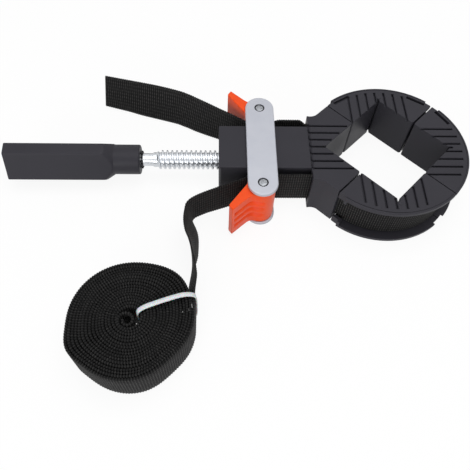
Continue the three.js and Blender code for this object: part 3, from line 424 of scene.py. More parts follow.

# Band held by the clamp
# From each cam the band runs beside the block into the front jaw and on round the ring, where it
# lies on the seats of the jaws. It is drawn in stretches.
SIDES = (("near", -1), ("far", 1))
BEND_START = 30.88 * mm  # along X, where the channel in the front jaw's wing begins to bend
CHANNEL_BEND = 12 * mm
BAND_RADIUS = 44.3 * mm
RING_AHEAD = 79 * mm  # from the yoke's middle to the ring's
RUN_START = -4.1 * mm
RUN_END = 31 * mm
RUN_POINTS = 60
FAR_BOW = 4.6 * mm  # how far the slack stands out on the far side
BOW_RISE = (1.1 * mm, 13.7 * mm)  # along X, where the slack leaves its line
BOW_FALL = (25.5 * mm, 31 * mm)  # and where it comes back
FRONT_SEAM, REAR_SEAM = 135, 45  # directions in degrees of the seams between the jaws


def arc(x, y, radius, first, last, step=1.5):
    """Plan points of an arc between two angles in degrees, its ends included."""
    angles = np.radians(np.linspace(first, last, max(2, round(abs(last - first) / step) + 1)))
    return [(x + radius * math.cos(a), y + radius * math.sin(a)) for a in angles]


def ease(value, low, high):
    """A smooth step from 0 at low to 1 at high."""
    t = min(1, max(0, (value - low) / (high - low)))
    return t * t * (3 - 2 * t)


def held_line(plan, side):
    """Rows for a stretch of band from its plan points on the far side, mirrored for the near one."""
    return np.array([(x, side * y, BAND_MIDDLE, 0) for x, y in plan])


for name, side in SIDES:
    bow = FAR_BOW if name == "far" else 0
    plan = [
        (x, RUN_OFFSET + bow * ease(x, *BOW_RISE) * (1 - ease(x, *BOW_FALL)))
        for x in np.linspace(RUN_START, RUN_END, RUN_POINTS)
    ]
    run, run_length = webbing(f"run_webbing_{name}", held_line(plan, side))
    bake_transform(run)
    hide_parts(f"band_side_{name}")

    channel = arc(BEND_START, RUN_OFFSET + CHANNEL_BEND, CHANNEL_BEND, -90, -45)
    plan = channel + arc(RING_AHEAD, 0, BAND_RADIUS, FRONT_SEAM, 90)
    wrap, wrap_length = webbing(f"wrap_webbing_{name}", held_line(plan, side))
    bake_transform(wrap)
    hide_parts(f"band_wrap_{name}")

    end, end_length = webbing(f"end_webbing_{name}", held_line(arc(RING_AHEAD, 0, BAND_RADIUS, 90, 0), side))
    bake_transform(end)
    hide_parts(f"band_end_{name}")

# Moulded plastic of the block, the jaws and the grip
# Glass-filled nylon, injection moulded in spark-eroded tools: dark grey and satin, with a fine
# even grain, slight clouding where the melt flowed, and a little dust rubbed into it.
PLASTIC_GREY = "#38373d"
PLASTIC_CLOUD = "#313036"
GRAIN = 0.35 * mm  # drawn coarser than the real 0.1 mm, so that it shows
GRAIN_DEPTH = 0.03 * mm
MELT_CLOUDS = 45.0  # to the metre, so about 20 mm each
SMOOTHER, DUSTIER = 0.05, 0.06  # how far its roughness strays each way
NOISE_LOW, NOISE_HIGH = 0.3, 0.7  # between which a noise mostly stays


def moulded_plastic(name, light, dark, roughness, **sockets):
    """Moulded plastic with its grain, clouding and rubbed patches."""
    material = new_material(name, **sockets)
    place = put(material, "ShaderNodeTexCoord").outputs["Object"]
    cloud = put(material, "ShaderNodeTexNoise", {"Vector": place, "Scale": MELT_CLOUDS, "Detail": 3.0})
    grain = put(material, "ShaderNodeTexNoise", {"Vector": place, "Scale": 1 / GRAIN, "Detail": 2.0})
    shade = put(
        material, "ShaderNodeMix", {0: cloud.outputs["Fac"], 6: linear(dark), 7: linear(light)},
        data_type="RGBA",
    )
    rubbed = put(material, "ShaderNodeMapRange", {
        "Value": cloud.outputs["Fac"], "From Min": NOISE_LOW, "From Max": NOISE_HIGH,
        "To Min": roughness - SMOOTHER, "To Max": roughness + DUSTIER,
    })
    bump = put(material, "ShaderNodeBump", {
        "Height": grain.outputs["Fac"], "Strength": 0.25, "Distance": GRAIN_DEPTH,
    })
    coat(material, Base_Color=shade.outputs[2], Roughness=rubbed.outputs[0], Normal=bump.outputs[0])
    return material


filled_nylon = moulded_plastic(
    "glass_filled_nylon", PLASTIC_GREY, PLASTIC_CLOUD, 0.46, IOR=1.53, Specular_IOR_Level=0.14,
)

# Block housing
# The moulded block that the yoke embraces: a box whose rear corners are rounded, a lid line round
# its top and bottom, a square cavity for the jaw's stem, and toothed anvil pads under the cams.
BLOCK_HALF = 16.4 * mm
BLOCK_BACK, BLOCK_FRONT = -26 * mm, 30 * mm
BLOCK_LOW, BLOCK_HIGH = 2.8 * mm, 30.3 * mm
AXIS_HEIGHT = 16.55 * mm  # of the screw
BLOCK_CORNER = 1.3 * mm
BLOCK_RIM = 0.45 * mm
LID_THICK = 2.2 * mm
LID_STEP = 0.5 * mm  # from the lids in to the walls
FRONT_STEP = 0.1 * mm  # and at the front
PAD_REACH = 2.2 * mm
PAD_HALF = 7.5 * mm
PAD_TEETH = 6
PAD_TOOTH = 0.5 * mm
PAD_TOOTH_PITCH = 2.5 * mm
CAVITY_BACK = -12.5 * mm
STEM_HALF_WIDTH, STEM_HALF_HEIGHT = 11 * mm, 8.5 * mm
SCREW_HOLE = 6.6 * mm
HOLE_FRONT = -11 * mm
NUT_CORNER = 10.3 * mm
NUT_BACK, NUT_FRONT = -22.5 * mm, -12 * mm
PLAY = 0.3 * mm
CUT_OVER = 1 * mm  # how far a cutter runs past a face
HOLE_SIDES = 48
CORNER_SHARE = 0.45  # of a side, the most that a rounded corner takes


def softened(outline, steps=4):
    """A plan outline in which each point with a third value has its corner rounded to that radius."""
    made = []
    for i, point in enumerate(outline):
        if len(point) < 3:
            made.append((point[0], point[1]))
            continue
        here = Vector(point[:2])
        to_last, to_next = (Vector(outline[j][:2]) - here for j in (i - 1, (i + 1) % len(outline)))
        opening = to_last.angle(to_next)
        trim = point[2] / math.tan(opening / 2)
        trim = min(trim, CORNER_SHARE * to_last.length, CORNER_SHARE * to_next.length)
        radius = trim * math.tan(opening / 2)
        bisector = (to_last.normalized() + to_next.normalized()).normalized()
        centre = here + bisector * (radius / math.sin(opening / 2))
        start = here + to_last.normalized() * trim - centre
        stop = here + to_next.normalized() * trim - centre
        sweep = start.angle_signed(stop)
        for k in range(steps + 1):
            spoke = start.copy()
            spoke.rotate(Matrix.Rotation(-sweep * k / steps, 2))
            made.append(tuple(centre + spoke))
    return made


def prism(outline, low, high, rim=0.0, steps=3):
    """(points, faces) of an upright prism on a plan outline, with its rims rounded off."""
    plan = np.array(outline)
    following = np.roll(plan, -1, axis=0)
    if np.sum(plan[:, 0] * following[:, 1] - following[:, 0] * plan[:, 1]) < 0:
        plan = plan[::-1]
    edges = np.roll(plan, -1, axis=0) - plan
    edges /= np.linalg.norm(edges, axis=1)[:, None]
    inward = np.column_stack([-edges[:, 1], edges[:, 0]])
    before = np.roll(inward, 1, axis=0)
    inset = (inward + before) / (1 + np.sum(inward * before, axis=1))[:, None]
    quarter = np.linspace(0, math.pi / 2, steps + 1) if rim else [math.pi / 2]
    rise = [(1 - math.sin(a), 1 - math.cos(a)) for a in quarter]
    levels = [(rim * i, low + rim * z) for i, z in rise] + [(rim * i, high - rim * z) for i, z in rise[::-1]]
    return skin([np.column_stack([plan + inset * i, np.full(len(plan), z)]) for i, z in levels])


def turned(profile, sides=HOLE_SIDES):
    """(points, faces) of a solid turned about Z from points of (radius, height).

    They start and end on the axis, or close on themselves.
    """
    on_axis = profile[0][0] == 0
    rings = profile[1:-1] if on_axis else profile
    around = np.linspace(0, 2 * math.pi, sides, endpoint=False)
    return skin([[(r * math.cos(a), r * math.sin(a), z) for a in around] for r, z in rings], not on_axis)


def round_bar(radius, low, high, inner=0, sides=HOLE_SIDES):
    """(points, faces) of a round bar about Z between two heights, or of a tube."""
    return turned([(inner, low), (radius, low), (radius, high), (inner, high)], sides)


def moved(solid, matrix):
    """A solid with its points moved by a matrix."""
    points, faces = solid
    return [matrix @ Vector(p) for p in points], faces


def along_axis(solid):
    """A solid about Z, laid along the screw's axis with its heights along X."""
    turn = Matrix(((0, 0, 1, 0), (1, 0, 0, 0), (0, 1, 0, AXIS_HEIGHT), (0, 0, 0, 1)))
    return moved(solid, turn)


def box(x0, x1, y0, y1, z0, z1, rim=0.0):
    """A box between two corners."""
    return prism([(x0, y0), (x1, y0), (x1, y1), (x0, y1)], z0, z1, rim)


def applied(piece):
    """The piece with its modifiers applied to its mesh."""
    evaluated = piece.evaluated_get(bpy.context.evaluated_depsgraph_get())
    mesh = bpy.data.meshes.new_from_object(evaluated)
    old = piece.data
    piece.modifiers.clear()
    piece.data = mesh
    bpy.data.meshes.remove(old)
    return piece


def worked(piece, solids, operation="DIFFERENCE"):
    """The piece with solids cut out of it, or joined to it with UNION, one after another."""
    tools = [mesh_object("tool", *solid, piece.data.materials[0]) for solid in solids]
    for tool in tools:
        change = piece.modifiers.new("work", "BOOLEAN")
        change.operation = operation
        change.object = tool
        change.solver = "EXACT"
    applied(piece)
    for tool in tools:
        bpy.data.meshes.remove(tool.data)
    return piece


def fitted(piece, body, slot, *nodes, crease=32):
    """Sets the piece's creases, so that flat faces look flat, and what it rides on and stands for."""
    piece.data.shade_smooth()
    piece.data.set_sharp_from_angle(angle=math.radians(crease))
    flats = piece.modifiers.new("flat_faces", "WEIGHTED_NORMAL")
    flats.keep_sharp = True
    applied(piece)
    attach(piece, body)
    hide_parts(*nodes)
    return piece


def block_outline(step, front_step):
    """The block's plan, drawn in by step, with its two rear corners rounded."""
    back, front, half = BLOCK_BACK + step, BLOCK_FRONT - front_step, BLOCK_HALF - step
    corners = [(back, -half, BLOCK_CORNER), (front, -half), (front, half), (back, half, BLOCK_CORNER)]
    return softened(corners, 8)


pads = BLOCK_LOW + LID_THICK / 2, BLOCK_HIGH - LID_THICK / 2
housing = mesh_object("block_body", *prism(block_outline(LID_STEP, FRONT_STEP), *pads), filled_nylon)
added = [
    prism(block_outline(0, 0), BLOCK_HIGH - LID_THICK, BLOCK_HIGH, BLOCK_RIM),
    prism(block_outline(0, 0), BLOCK_LOW, BLOCK_LOW + LID_THICK, BLOCK_RIM),
]
for side in (-1, 1):
    root, face = side * (BLOCK_HALF - CUT_OVER), side * (BLOCK_HALF + PAD_REACH)
    teeth = [(-PAD_HALF, root)]
    for x in (np.arange(PAD_TEETH) - (PAD_TEETH - 1) / 2) * PAD_TOOTH_PITCH:
        valley = (x, face - side * PAD_TOOTH)
        teeth += [(x - PAD_TOOTH_PITCH / 4, face), valley, (x + PAD_TOOTH_PITCH / 4, face)]
    added.append(prism(teeth + [(PAD_HALF, root)], *pads))
worked(housing, added, "UNION")
cavity = box(
    CAVITY_BACK, BLOCK_FRONT + CUT_OVER, -STEM_HALF_WIDTH - PLAY, STEM_HALF_WIDTH + PLAY,
    AXIS_HEIGHT - STEM_HALF_HEIGHT - PLAY, AXIS_HEIGHT + STEM_HALF_HEIGHT + PLAY,
)
screw_hole = along_axis(round_bar(SCREW_HOLE, BLOCK_BACK - CUT_OVER, HOLE_FRONT))
nut_room = along_axis(round_bar(NUT_CORNER, NUT_BACK, NUT_FRONT, sides=6))
worked(housing, [cavity, screw_hole, nut_room])
fitted(housing, "yoke", "dark_plastic", "block_housing")

# Zinc-plated steel of the yoke and the small hardware
# Mild steel, blanked, tumbled and zinc plated: light grey and even, satin, with faint tumbling
# marks and a slightly mottled plating. The same plating is brighter on turned parts.
ZINC_GREY = "#c3c5cd"
ZINC_SHADE = "#b5b8c2"
BRIGHT_ZINC = "#e2e4e7"
BRIGHT_SHADE = "#c3c7cc"
MOTTLES = 120.0  # to the metre, so about 8 mm each
MARK_DEPTH = 0.02 * mm
MARK_SMOOTH, MARK_ROUGH = 0.06, 0.08  # how far the marks stray from its roughness


def plated_steel(name, light, dark, metallic, roughness, mark):
    """Plated or blackened steel, mottled, with fine marks of a real size."""
    material = new_material(name, Metallic=metallic)
    place = put(material, "ShaderNodeTexCoord").outputs["Object"]
    mottle = put(material, "ShaderNodeTexNoise", {"Vector": place, "Scale": MOTTLES, "Detail": 4.0})
    marks = put(material, "ShaderNodeTexNoise", {"Vector": place, "Scale": 1 / mark, "Detail": 3.0})
    shade = put(
        material, "ShaderNodeMix", {0: mottle.outputs["Fac"], 6: linear(dark), 7: linear(light)},
        data_type="RGBA",
    )
    dull = put(material, "ShaderNodeMapRange", {
        "Value": marks.outputs["Fac"], "From Min": NOISE_LOW, "From Max": NOISE_HIGH,
        "To Min": roughness - MARK_SMOOTH, "To Max": roughness + MARK_ROUGH,
    })
    bump = put(material, "ShaderNodeBump", {
        "Height": marks.outputs["Fac"], "Strength": 0.15, "Distance": MARK_DEPTH,
    })
    coat(material, Base_Color=shade.outputs[2], Roughness=dull.outputs[0], Normal=bump.outputs[0])
    return material


tumbled_zinc = plated_steel(
    "tumbled_zinc_plate", ZINC_GREY, ZINC_SHADE, metallic=0.35, roughness=0.45, mark=0.5 * mm,
)
bright_zinc = plated_steel(
    "bright_zinc_plate", BRIGHT_ZINC, BRIGHT_SHADE, metallic=0.9, roughness=0.26, mark=0.4 * mm,
)

# Yoke plates
# Two flat plates blanked from 2.5 mm strip with full round ends, their edges rounded by tumbling.
# Round seats are sunk into their outer faces for the heads of the two rivets that join them.
PLATE_THICK = 2.5 * mm
PLATE_RADIUS = 9 * mm
PLATE_RIM = 0.7 * mm
RIVET_REACH = 29.3 * mm
TOP_PLATE_LOW = 30.6 * mm
SINK_RADIUS = 3.25 * mm
SINK_DEPTH = 1 * mm

stadium = arc(0, RIVET_REACH, PLATE_RADIUS, 0, 180, step=4)
stadium += arc(0, -RIVET_REACH, PLATE_RADIUS, 180, 360, step=4)
for name, low, outer, out in (("bottom", 0, 0, -1), ("top", TOP_PLATE_LOW, TOP_PLATE_LOW + PLATE_THICK, 1)):
    plate = mesh_object(f"plate_{name}", *prism(stadium, low, low + PLATE_THICK, PLATE_RIM, 4), tumbled_zinc)
    seat = round_bar(SINK_RADIUS, *sorted((outer - out * SINK_DEPTH, outer + out * CUT_OVER)))
    worked(plate, [moved(seat, Matrix.Translation((0, y, 0))) for y in (-RIVET_REACH, RIVET_REACH)])
    fitted(plate, "yoke", "plated_steel", f"yoke_plate_{name}")

# Rivets
# Solid steel rivets with small low heads, closed by a press whose die leaves a rough, crossed
# print on each head. A dark ring laid round the heads in their seats is painted shade.
RIVET_RADIUS = 2.4 * mm
RIVET_TOP = 33.1 * mm
HEAD_RADIUS = 2.5 * mm
HEAD_LIFT = 0.1 * mm  # of a head's underside above its seat
HEAD_SHOULDER = 0.5 * mm  # from a head's top down to the start of its rounded edge
HEAD_EDGE = 0.35 * mm
HEAD_CROWN = 0.05 * mm  # from halfway in up to its middle
HEAD_POINT = 0.3 * mm  # radius of its flat middle
PRINT_PITCH = 0.9 * mm
PRINT_DEPTH = 0.06 * mm
PRINT_GREY = "#aeb1b6"
PRINT_DARK = "#7d8085"
SEAT_SHADE_BLACK = "#161618"
SEAT_SHADE_GREY = "#3a3a3d"
SEAT_SHADE_CLUMP = 0.5 * mm
SEAT_SHADE_DEEP = 0.5 * mm
SEAT_SHADE_PRESSED = 0.05 * mm  # into the steel all round it

pressed = new_material("pressed_rivet_steel", Metallic=0.8, Roughness=0.36)
place = put(pressed, "ShaderNodeTexCoord").outputs["Object"]
cells = put(
    pressed, "ShaderNodeTexVoronoi", {"Vector": place, "Scale": 1 / PRINT_PITCH}, feature="DISTANCE_TO_EDGE",
)
tone = put(pressed, "ShaderNodeMapRange", {
    "Value": cells.outputs["Distance"], "From Min": 0.0, "From Max": 0.25,
}).outputs["Result"]
print_mix = put(
    pressed, "ShaderNodeMix", {0: tone, 6: linear(PRINT_DARK), 7: linear(PRINT_GREY)}, data_type="RGBA",
)
print_bump = put(pressed, "ShaderNodeBump", {"Height": tone, "Strength": 0.5, "Distance": PRINT_DEPTH})
coat(pressed, Base_Color=print_mix.outputs[2], Normal=print_bump.outputs["Normal"])

# Near-black matt paint in small clumps, laid in the seats round the rivet heads as painted shade.
seat_shade_paint = new_material("painted_seat_shade", Roughness=0.8, Specular_IOR_Level=0.2)
clumps = put(seat_shade_paint, "ShaderNodeTexNoise", {"Scale": 1 / SEAT_SHADE_CLUMP, "Detail": 3.0})
seat_shade_mottle = put(
    seat_shade_paint, "ShaderNodeMix", {0: clumps.outputs["Fac"], 6: linear(SEAT_SHADE_BLACK), 7: linear(SEAT_SHADE_GREY)},
    data_type="RGBA",
)
coat(seat_shade_paint, Base_Color=seat_shade_mottle.outputs[2])

head_low = RIVET_TOP - SINK_DEPTH + HEAD_LIFT
half_rivet = [(RIVET_RADIUS, RIVET_TOP / 2), (RIVET_RADIUS, head_low), (HEAD_RADIUS, head_low)]
half_rivet += [
    (HEAD_RADIUS - HEAD_EDGE * (1 - math.cos(a)), RIVET_TOP - HEAD_SHOULDER + HEAD_EDGE * math.sin(a))
    for a in np.linspace(0, math.pi / 2, 5)
]
half_rivet += [(HEAD_RADIUS / 2, RIVET_TOP - HEAD_CROWN), (HEAD_POINT, RIVET_TOP)]
whole_rivet = [(0, 0)] + [(r, RIVET_TOP - z) for r, z in half_rivet[::-1]] + half_rivet[1:] + [(0, RIVET_TOP)]
seat_shade_low = RIVET_TOP - SINK_DEPTH - SEAT_SHADE_PRESSED
seat_shade_ring = round_bar(SINK_RADIUS + SEAT_SHADE_PRESSED, seat_shade_low, seat_shade_low + SEAT_SHADE_DEEP, HEAD_RADIUS - SEAT_SHADE_PRESSED)
for name, side in SIDES:
    to_rivet = Matrix.Translation((0, side * RIVET_REACH, 0))
    stud = mesh_object(f"rivet_stud_{name}", *moved(turned(whole_rivet), to_rivet), pressed)
    fitted(stud, "yoke", "bright_steel", f"rivet_{name}")
    # The dark ring in the seat round each head is painted shade.
    seat_shade = mesh_object(f"rivet_seat_shade_{name}", *moved(seat_shade_ring, to_rivet), seat_shade_paint)
    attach(seat_shade, "yoke")

# Hidden hardware
# The nut, the bushes, the thrust pad and the clip that keeps the screw in the jaw are plain turned
# or blanked pieces, which the frame has right. They only take their plating here.
for node, plating in (
    ("spindle_nut", tumbled_zinc), ("retaining_clip", tumbled_zinc), ("rivet_bush_near", bright_zinc),
    ("rivet_bush_far", bright_zinc), ("thrust_pad", bright_zinc),
):
    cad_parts[node].data.materials.clear()
    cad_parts[node].data.materials.append(plating)

# Cam levers
# Glass-filled nylon in signal orange, moulded: a toothed cam on the rivet and a tab for the
# finger, with three grooves that follow its swept side. The finish is smooth and half gloss.
LEVER_ORANGE = "#ff5a1a"
LEVER_DEEP = "#fd4c0e"
CAM_NOSE = 9 * mm  # from the rivet in to the band
CAM_ECCENTRIC = 0.7 * mm
CAM_BIAS = math.radians(60)
CAM_RADIUS = CAM_NOSE - CAM_ECCENTRIC * math.cos(CAM_BIAS)
LEVER_BACK, LEVER_OUT = 20.3 * mm, 14.2 * mm  # from the rivet to the tab's tip
TIP_THICK = 4 * mm
TIP_ROUND = 1.3 * mm
FOOT_SHARES = (-0.66, 0.82)  # of the cam's radius, to the corner that the fillet rounds
FILLET_SHARE = 0.25  # of the swept side that its fillet takes
FILLET_ANGLE, HEEL_ANGLE = 105, -175  # degrees round the cam, where its round begins and ends
SIDE_POINTS, FILLET_POINTS = 14, 16
PLAIN_SHARE = 0.2  # of the swept side, next to the tip, that has no grooves
FADE_POINTS = (3, 10)  # on the cam's round, between which the grooves run out
GROOVE_SHARES = (0.28, 0.5, 0.72)  # of the lever's height
GROOVE_DEPTH = 1.6 * mm
GROOVE_HALF = 2.3 * mm
GROOVE_DEEPEST, GROOVE_TOP = 0.35, 0.75  # shares of its half width above its middle
LEVER_RIM = 0.5 * mm
LEVER_LEVELS = 76
BUSH_HOLE = 4.3 * mm
SPRING_ROOM = 6.2 * mm
SPRING_FLOOR = 24.3 * mm
CAM_TOOTH = 0.6 * mm
CAM_TOOTH_ANGLE = 9

orange = moulded_plastic(
    "orange_moulded_nylon", LEVER_ORANGE, LEVER_DEEP, 0.38, IOR=1.5, Specular_IOR_Level=0.25,
    Subsurface_Weight=0.25, Subsurface_Scale=3 * mm,
)


def lever_outline():
    """The lever's plan about its rivet, y outwards, and how deep each point's grooves go, 0 to 1."""
    hub = Vector((-CAM_ECCENTRIC * math.sin(CAM_BIAS), -CAM_ECCENTRIC * math.cos(CAM_BIAS)))
    tip = Vector((-LEVER_BACK, LEVER_OUT))
    outer = tip + Vector((LEVER_OUT, LEVER_BACK)).normalized() * TIP_THICK
    foot = hub + Vector(FOOT_SHARES) * CAM_RADIUS
    valley = foot.lerp(outer, FILLET_SHARE)
    angle = math.radians(FILLET_ANGLE)
    landing = hub + Vector((math.cos(angle), math.sin(angle))) * CAM_RADIUS
    shares = np.linspace(0, 1, SIDE_POINTS + 1)[1:]
    swept = [outer.lerp(valley, t) for t in shares]
    fillet = [
        valley * (1 - t) ** 2 + foot * 2 * t * (1 - t) + landing * t**2
        for t in np.linspace(0, 1, FILLET_POINTS + 1)[1:]
    ]
    round_hub = arc(hub.x, hub.y, CAM_RADIUS, FILLET_ANGLE, HEEL_ANGLE, step=3)[1:]
    corners = softened([(*tip, TIP_ROUND), (*outer, TIP_ROUND), tuple(swept[0]), round_hub[-1]])[:-2]
    plan = [(*p, 0.0) for p in corners]
    plan += [(*p, ease(t, PLAIN_SHARE * 0.6, PLAIN_SHARE)) for p, t in zip(swept, shares)]
    plan += [(*p, 1.0) for p in fillet]
    plan += [(*p, 1 - ease(k, *FADE_POINTS)) for k, p in enumerate(round_hub)]
    return np.array(plan), hub


def groove_depth(share):
    """A groove's depth at a share of its half width above its middle: steep above, sloping below."""
    return GROOVE_DEPTH * ease(share, -1, GROOVE_DEEPEST) * (1 - ease(share, GROOVE_DEEPEST, GROOVE_TOP))


def rounded_in(radius, away):
    """How far a rounded edge draws a wall in at a distance from the end face."""
    return radius - math.sqrt(max(0, radius**2 - max(0, radius - away) ** 2))


def lever_shape(side):
    """The lever's body: its plan at many levels, drawn in where the grooves run."""
    plan, hub = lever_outline()
    points, deep = plan[:, :2], plan[:, 2]
    edges = np.roll(points, -1, axis=0) - np.roll(points, 1, axis=0)
    edges /= np.linalg.norm(edges, axis=1)[:, None]
    inward = np.column_stack([edges[:, 1], -edges[:, 0]])
    height = BLOCK_HIGH - BLOCK_LOW
    ends = np.array([0, 0.3, 0.6])
    middles = np.linspace(1, LEVER_LEVELS - 1, LEVER_LEVELS - 1)
    rings = []
    for share in np.concatenate([ends, middles, LEVER_LEVELS - ends[::-1]]) / LEVER_LEVELS:
        z = height * share
        rim = rounded_in(LEVER_RIM, min(z, height - z))
        groove = sum(groove_depth((z - s * height) / GROOVE_HALF) for s in GROOVE_SHARES)
        ring = points + inward * (rim + groove * deep)[:, None]
        y, level = side * (RIVET_REACH + ring[:, 1]), np.full(len(ring), BLOCK_LOW + z)
        rings.append(np.column_stack([ring[:, 0], y, level]))
    rings = np.array(rings)
    return skin(rings if side < 0 else rings[:, ::-1]), hub


for name, side in SIDES:
    shape, hub = lever_shape(side)
    lever = mesh_object(f"lever_{name}", *shape, orange)
    to_rivet = Matrix.Translation((0, side * RIVET_REACH, 0))
    low, high = BLOCK_LOW - CUT_OVER, BLOCK_HIGH + CUT_OVER
    bores = [round_bar(BUSH_HOLE, low, high), round_bar(SPRING_ROOM, SPRING_FLOOR, high)]
    cuts = [moved(bore, to_rivet) for bore in bores]
    for k in range(-2, 3):
        middle = math.radians(-90 + k * CAM_TOOTH_ANGLE)
        wide = math.radians(CAM_TOOTH_ANGLE / 3)
        outer = CAM_RADIUS + CUT_OVER
        outline = [
            (hub.x + r * math.cos(middle + by), side * (RIVET_REACH + hub.y + r * math.sin(middle + by)))
            for r, by in ((CAM_RADIUS - CAM_TOOTH, 0), (outer, -wide), (outer, wide))
        ]
        cuts.append(prism(outline, low, high))
    worked(lever, cuts)
    fitted(lever, f"{name}_cam", "orange_plastic", f"cam_lever_{name}")

# Cam springs
# Torsion springs of 0.9 mm music wire, three turns wound round each bush in the lever's
# counterbore. They press the cam on the band.
SPRING_WIRE = 0.45 * mm  # its radius
SPRING_RADIUS = 4.95 * mm
SPRING_BASE = 25.05 * mm
SPRING_PITCH = 1.5 * mm
SPRING_TURNS = 3
SPRING_STEPS = 36  # a turn
WIRE_SIDES = 10

for name, side in SIDES:
    rings = []
    for turn in np.linspace(0, SPRING_TURNS, SPRING_STEPS * SPRING_TURNS + 1):
        angle = 2 * math.pi * turn
        out = Vector((math.cos(angle), side * math.sin(angle), 0))
        middle = Vector((0, side * RIVET_REACH, SPRING_BASE + SPRING_PITCH * turn)) + out * SPRING_RADIUS
        around = np.linspace(0, 2 * math.pi, WIRE_SIDES, endpoint=False)[:: -side]
        rings.append([
            middle + out * SPRING_WIRE * math.cos(a) + Vector((0, 0, SPRING_WIRE * math.sin(a)))
            for a in around
        ])
    spring = mesh_object(f"spring_wire_{name}", *skin(rings), bright_zinc)
    fitted(spring, "yoke", "bright_steel", f"cam_spring_{name}", crease=60)

# Screw
# A right-hand trapezoid thread, 12 mm across with a 3 mm pitch, rolled and bright zinc plated,
# with a plain shank behind it and a turned tip that the front jaw holds captive.
THREAD_RADIUS = 6 * mm
THREAD_PITCH = 3 * mm
THREAD_DEPTH = 1.4 * mm
THREAD_TURNS = 17
ROOT_SHARE, CREST_SHARE = 0.34, 0.28
SHANK_RADIUS = 4 * mm
SHANK_LENGTH = 8 * mm
SHANK_SUNK = 8 * mm  # how far it goes on inside the grip
SHANK_STEP = (0.4 * mm, 0.1 * mm)  # back from the thread, and out
THREAD_FRONT = -11.2 * mm
THREAD_BACK = THREAD_FRONT - THREAD_PITCH * (THREAD_TURNS + 2 - ROOT_SHARE)
COLLAR_FRONT = THREAD_BACK - SHANK_LENGTH
TIP_RADIUS = 4.5 * mm
TIP_LENGTH = 12 * mm
TIP_CHAMFER = 0.6 * mm
THREAD_GAP = 0.2 * mm  # between the thread's rings and those before and behind it
STEM_BACK = -10.2 * mm
THREAD_SIDES = 60
THREAD_STEPS = 14  # along one pitch


def thread_radius(x, turn):
    """The screw's radius at a place along it and a share of a full turn."""
    start = THREAD_BACK + THREAD_PITCH / 2
    lead_in = ease(x, start, start + THREAD_PITCH)
    run_out = 1 - ease(x, THREAD_FRONT - THREAD_PITCH, THREAD_FRONT)
    phase = ((x - start) / THREAD_PITCH - turn) % 1
    flank = (1 - ROOT_SHARE - CREST_SHARE) / 2
    ridge = ease(phase, 0, flank) * (1 - ease(phase, flank + CREST_SHARE, 2 * flank + CREST_SHARE))
    return THREAD_RADIUS - THREAD_DEPTH + THREAD_DEPTH * ridge * lead_in * run_out


def ring_round(x, radii, angles):
    """A ring of points round the screw's axis at a place along it."""
    return [(r * math.cos(a), r * math.sin(a), x) for r, a in zip(radii, angles)]


around = np.linspace(0, 1, THREAD_SIDES, endpoint=False)
angles = 2 * math.pi * around
tip_end = STEM_BACK + TIP_LENGTH - PLAY
shank = [
    (COLLAR_FRONT - SHANK_SUNK, SHANK_RADIUS), (THREAD_BACK - SHANK_STEP[0], SHANK_RADIUS),
    (THREAD_BACK, SHANK_RADIUS + SHANK_STEP[1]),
]
tip = [
    (THREAD_FRONT + THREAD_GAP, TIP_RADIUS), (tip_end - TIP_CHAMFER, TIP_RADIUS),
    (tip_end, TIP_RADIUS - TIP_CHAMFER),
]
screw_rings = [ring_round(x, [radius] * THREAD_SIDES, angles) for x, radius in shank]
for x in np.arange(THREAD_BACK + THREAD_GAP, THREAD_FRONT, THREAD_PITCH / THREAD_STEPS):
    screw_rings.append(ring_round(x, [thread_radius(x, t) for t in around], angles))
screw_rings += [ring_round(x, [radius] * THREAD_SIDES, angles) for x, radius in tip]
screw = mesh_object("screw_thread", *along_axis(skin(screw_rings)), bright_zinc)
fitted(screw, "screw", "bright_steel", "spindle", crease=40)

# Shank washer
# A toothed push-on washer of blackened spring steel, pressed up the shank to the grip's mouth.
# Phosphate and oil leave it black and uneven.
WASHER_RADIUS = 5.6 * mm
WASHER_THICK = 1.4 * mm
WASHER_RIM = 0.3 * mm
WASHER_FREE = 0.1 * mm  # round the shank
WASHER_TEETH = 10
TOOTH_DEPTH, TOOTH_POWER, TOOTH_STEPS = 0.55 * mm, 1.5, 12
WASHER_BLACK = "#171618"
WASHER_OIL = "#2c2b2e"

blackened = plated_steel(
    "blackened_steel", WASHER_OIL, WASHER_BLACK, metallic=0.5, roughness=0.5, mark=0.4 * mm,
)
toothed = []
for a in np.linspace(0, 2 * math.pi, TOOTH_STEPS * WASHER_TEETH, endpoint=False):
    radius = WASHER_RADIUS - TOOTH_DEPTH * (1 - math.cos(WASHER_TEETH * a)) ** TOOTH_POWER
    toothed.append((radius * math.cos(a), radius * math.sin(a)))
back = COLLAR_FRONT + PLAY
disc = mesh_object(
    "washer_disc", *along_axis(prism(toothed, back, back + WASHER_THICK, WASHER_RIM)), blackened,
)
back = COLLAR_FRONT - CUT_OVER
bore = round_bar(SHANK_RADIUS + WASHER_FREE, back, back + WASHER_THICK + 3 * CUT_OVER)
worked(disc, [along_axis(bore)])
fitted(disc, "screw", "black_steel", "shank_washer")

# Grip
# The three-sided grip is moulded on the screw's shank: three long flats, three narrow ones,
# a taper, and a round collar. Satin nylon, with crisp edges that are only just broken.
GRIP_LENGTH = 66.2 * mm
GRIP_FLAT = 18.7 * mm
GRIP_NOSE = 7.3 * mm
GRIP_ROLL = 8.6  # degrees
GRIP_BORE = 28 * mm  # how deep the shank's hole goes
COLLAR_RADIUS = 9.3 * mm
COLLAR_LENGTH = 16 * mm
COLLAR_START = 0.3 * mm  # past the taper
COLLAR_EDGE = 0.9 * mm
TAPER_SLOPE = 0.65
GRIP_EDGE = 0.5 * mm
GRIP_SIDES = 300
CORNER_POWER = 46  # how crisp the edges between the flats are
TAPER_POWER = 60  # and those between the flats and the taper

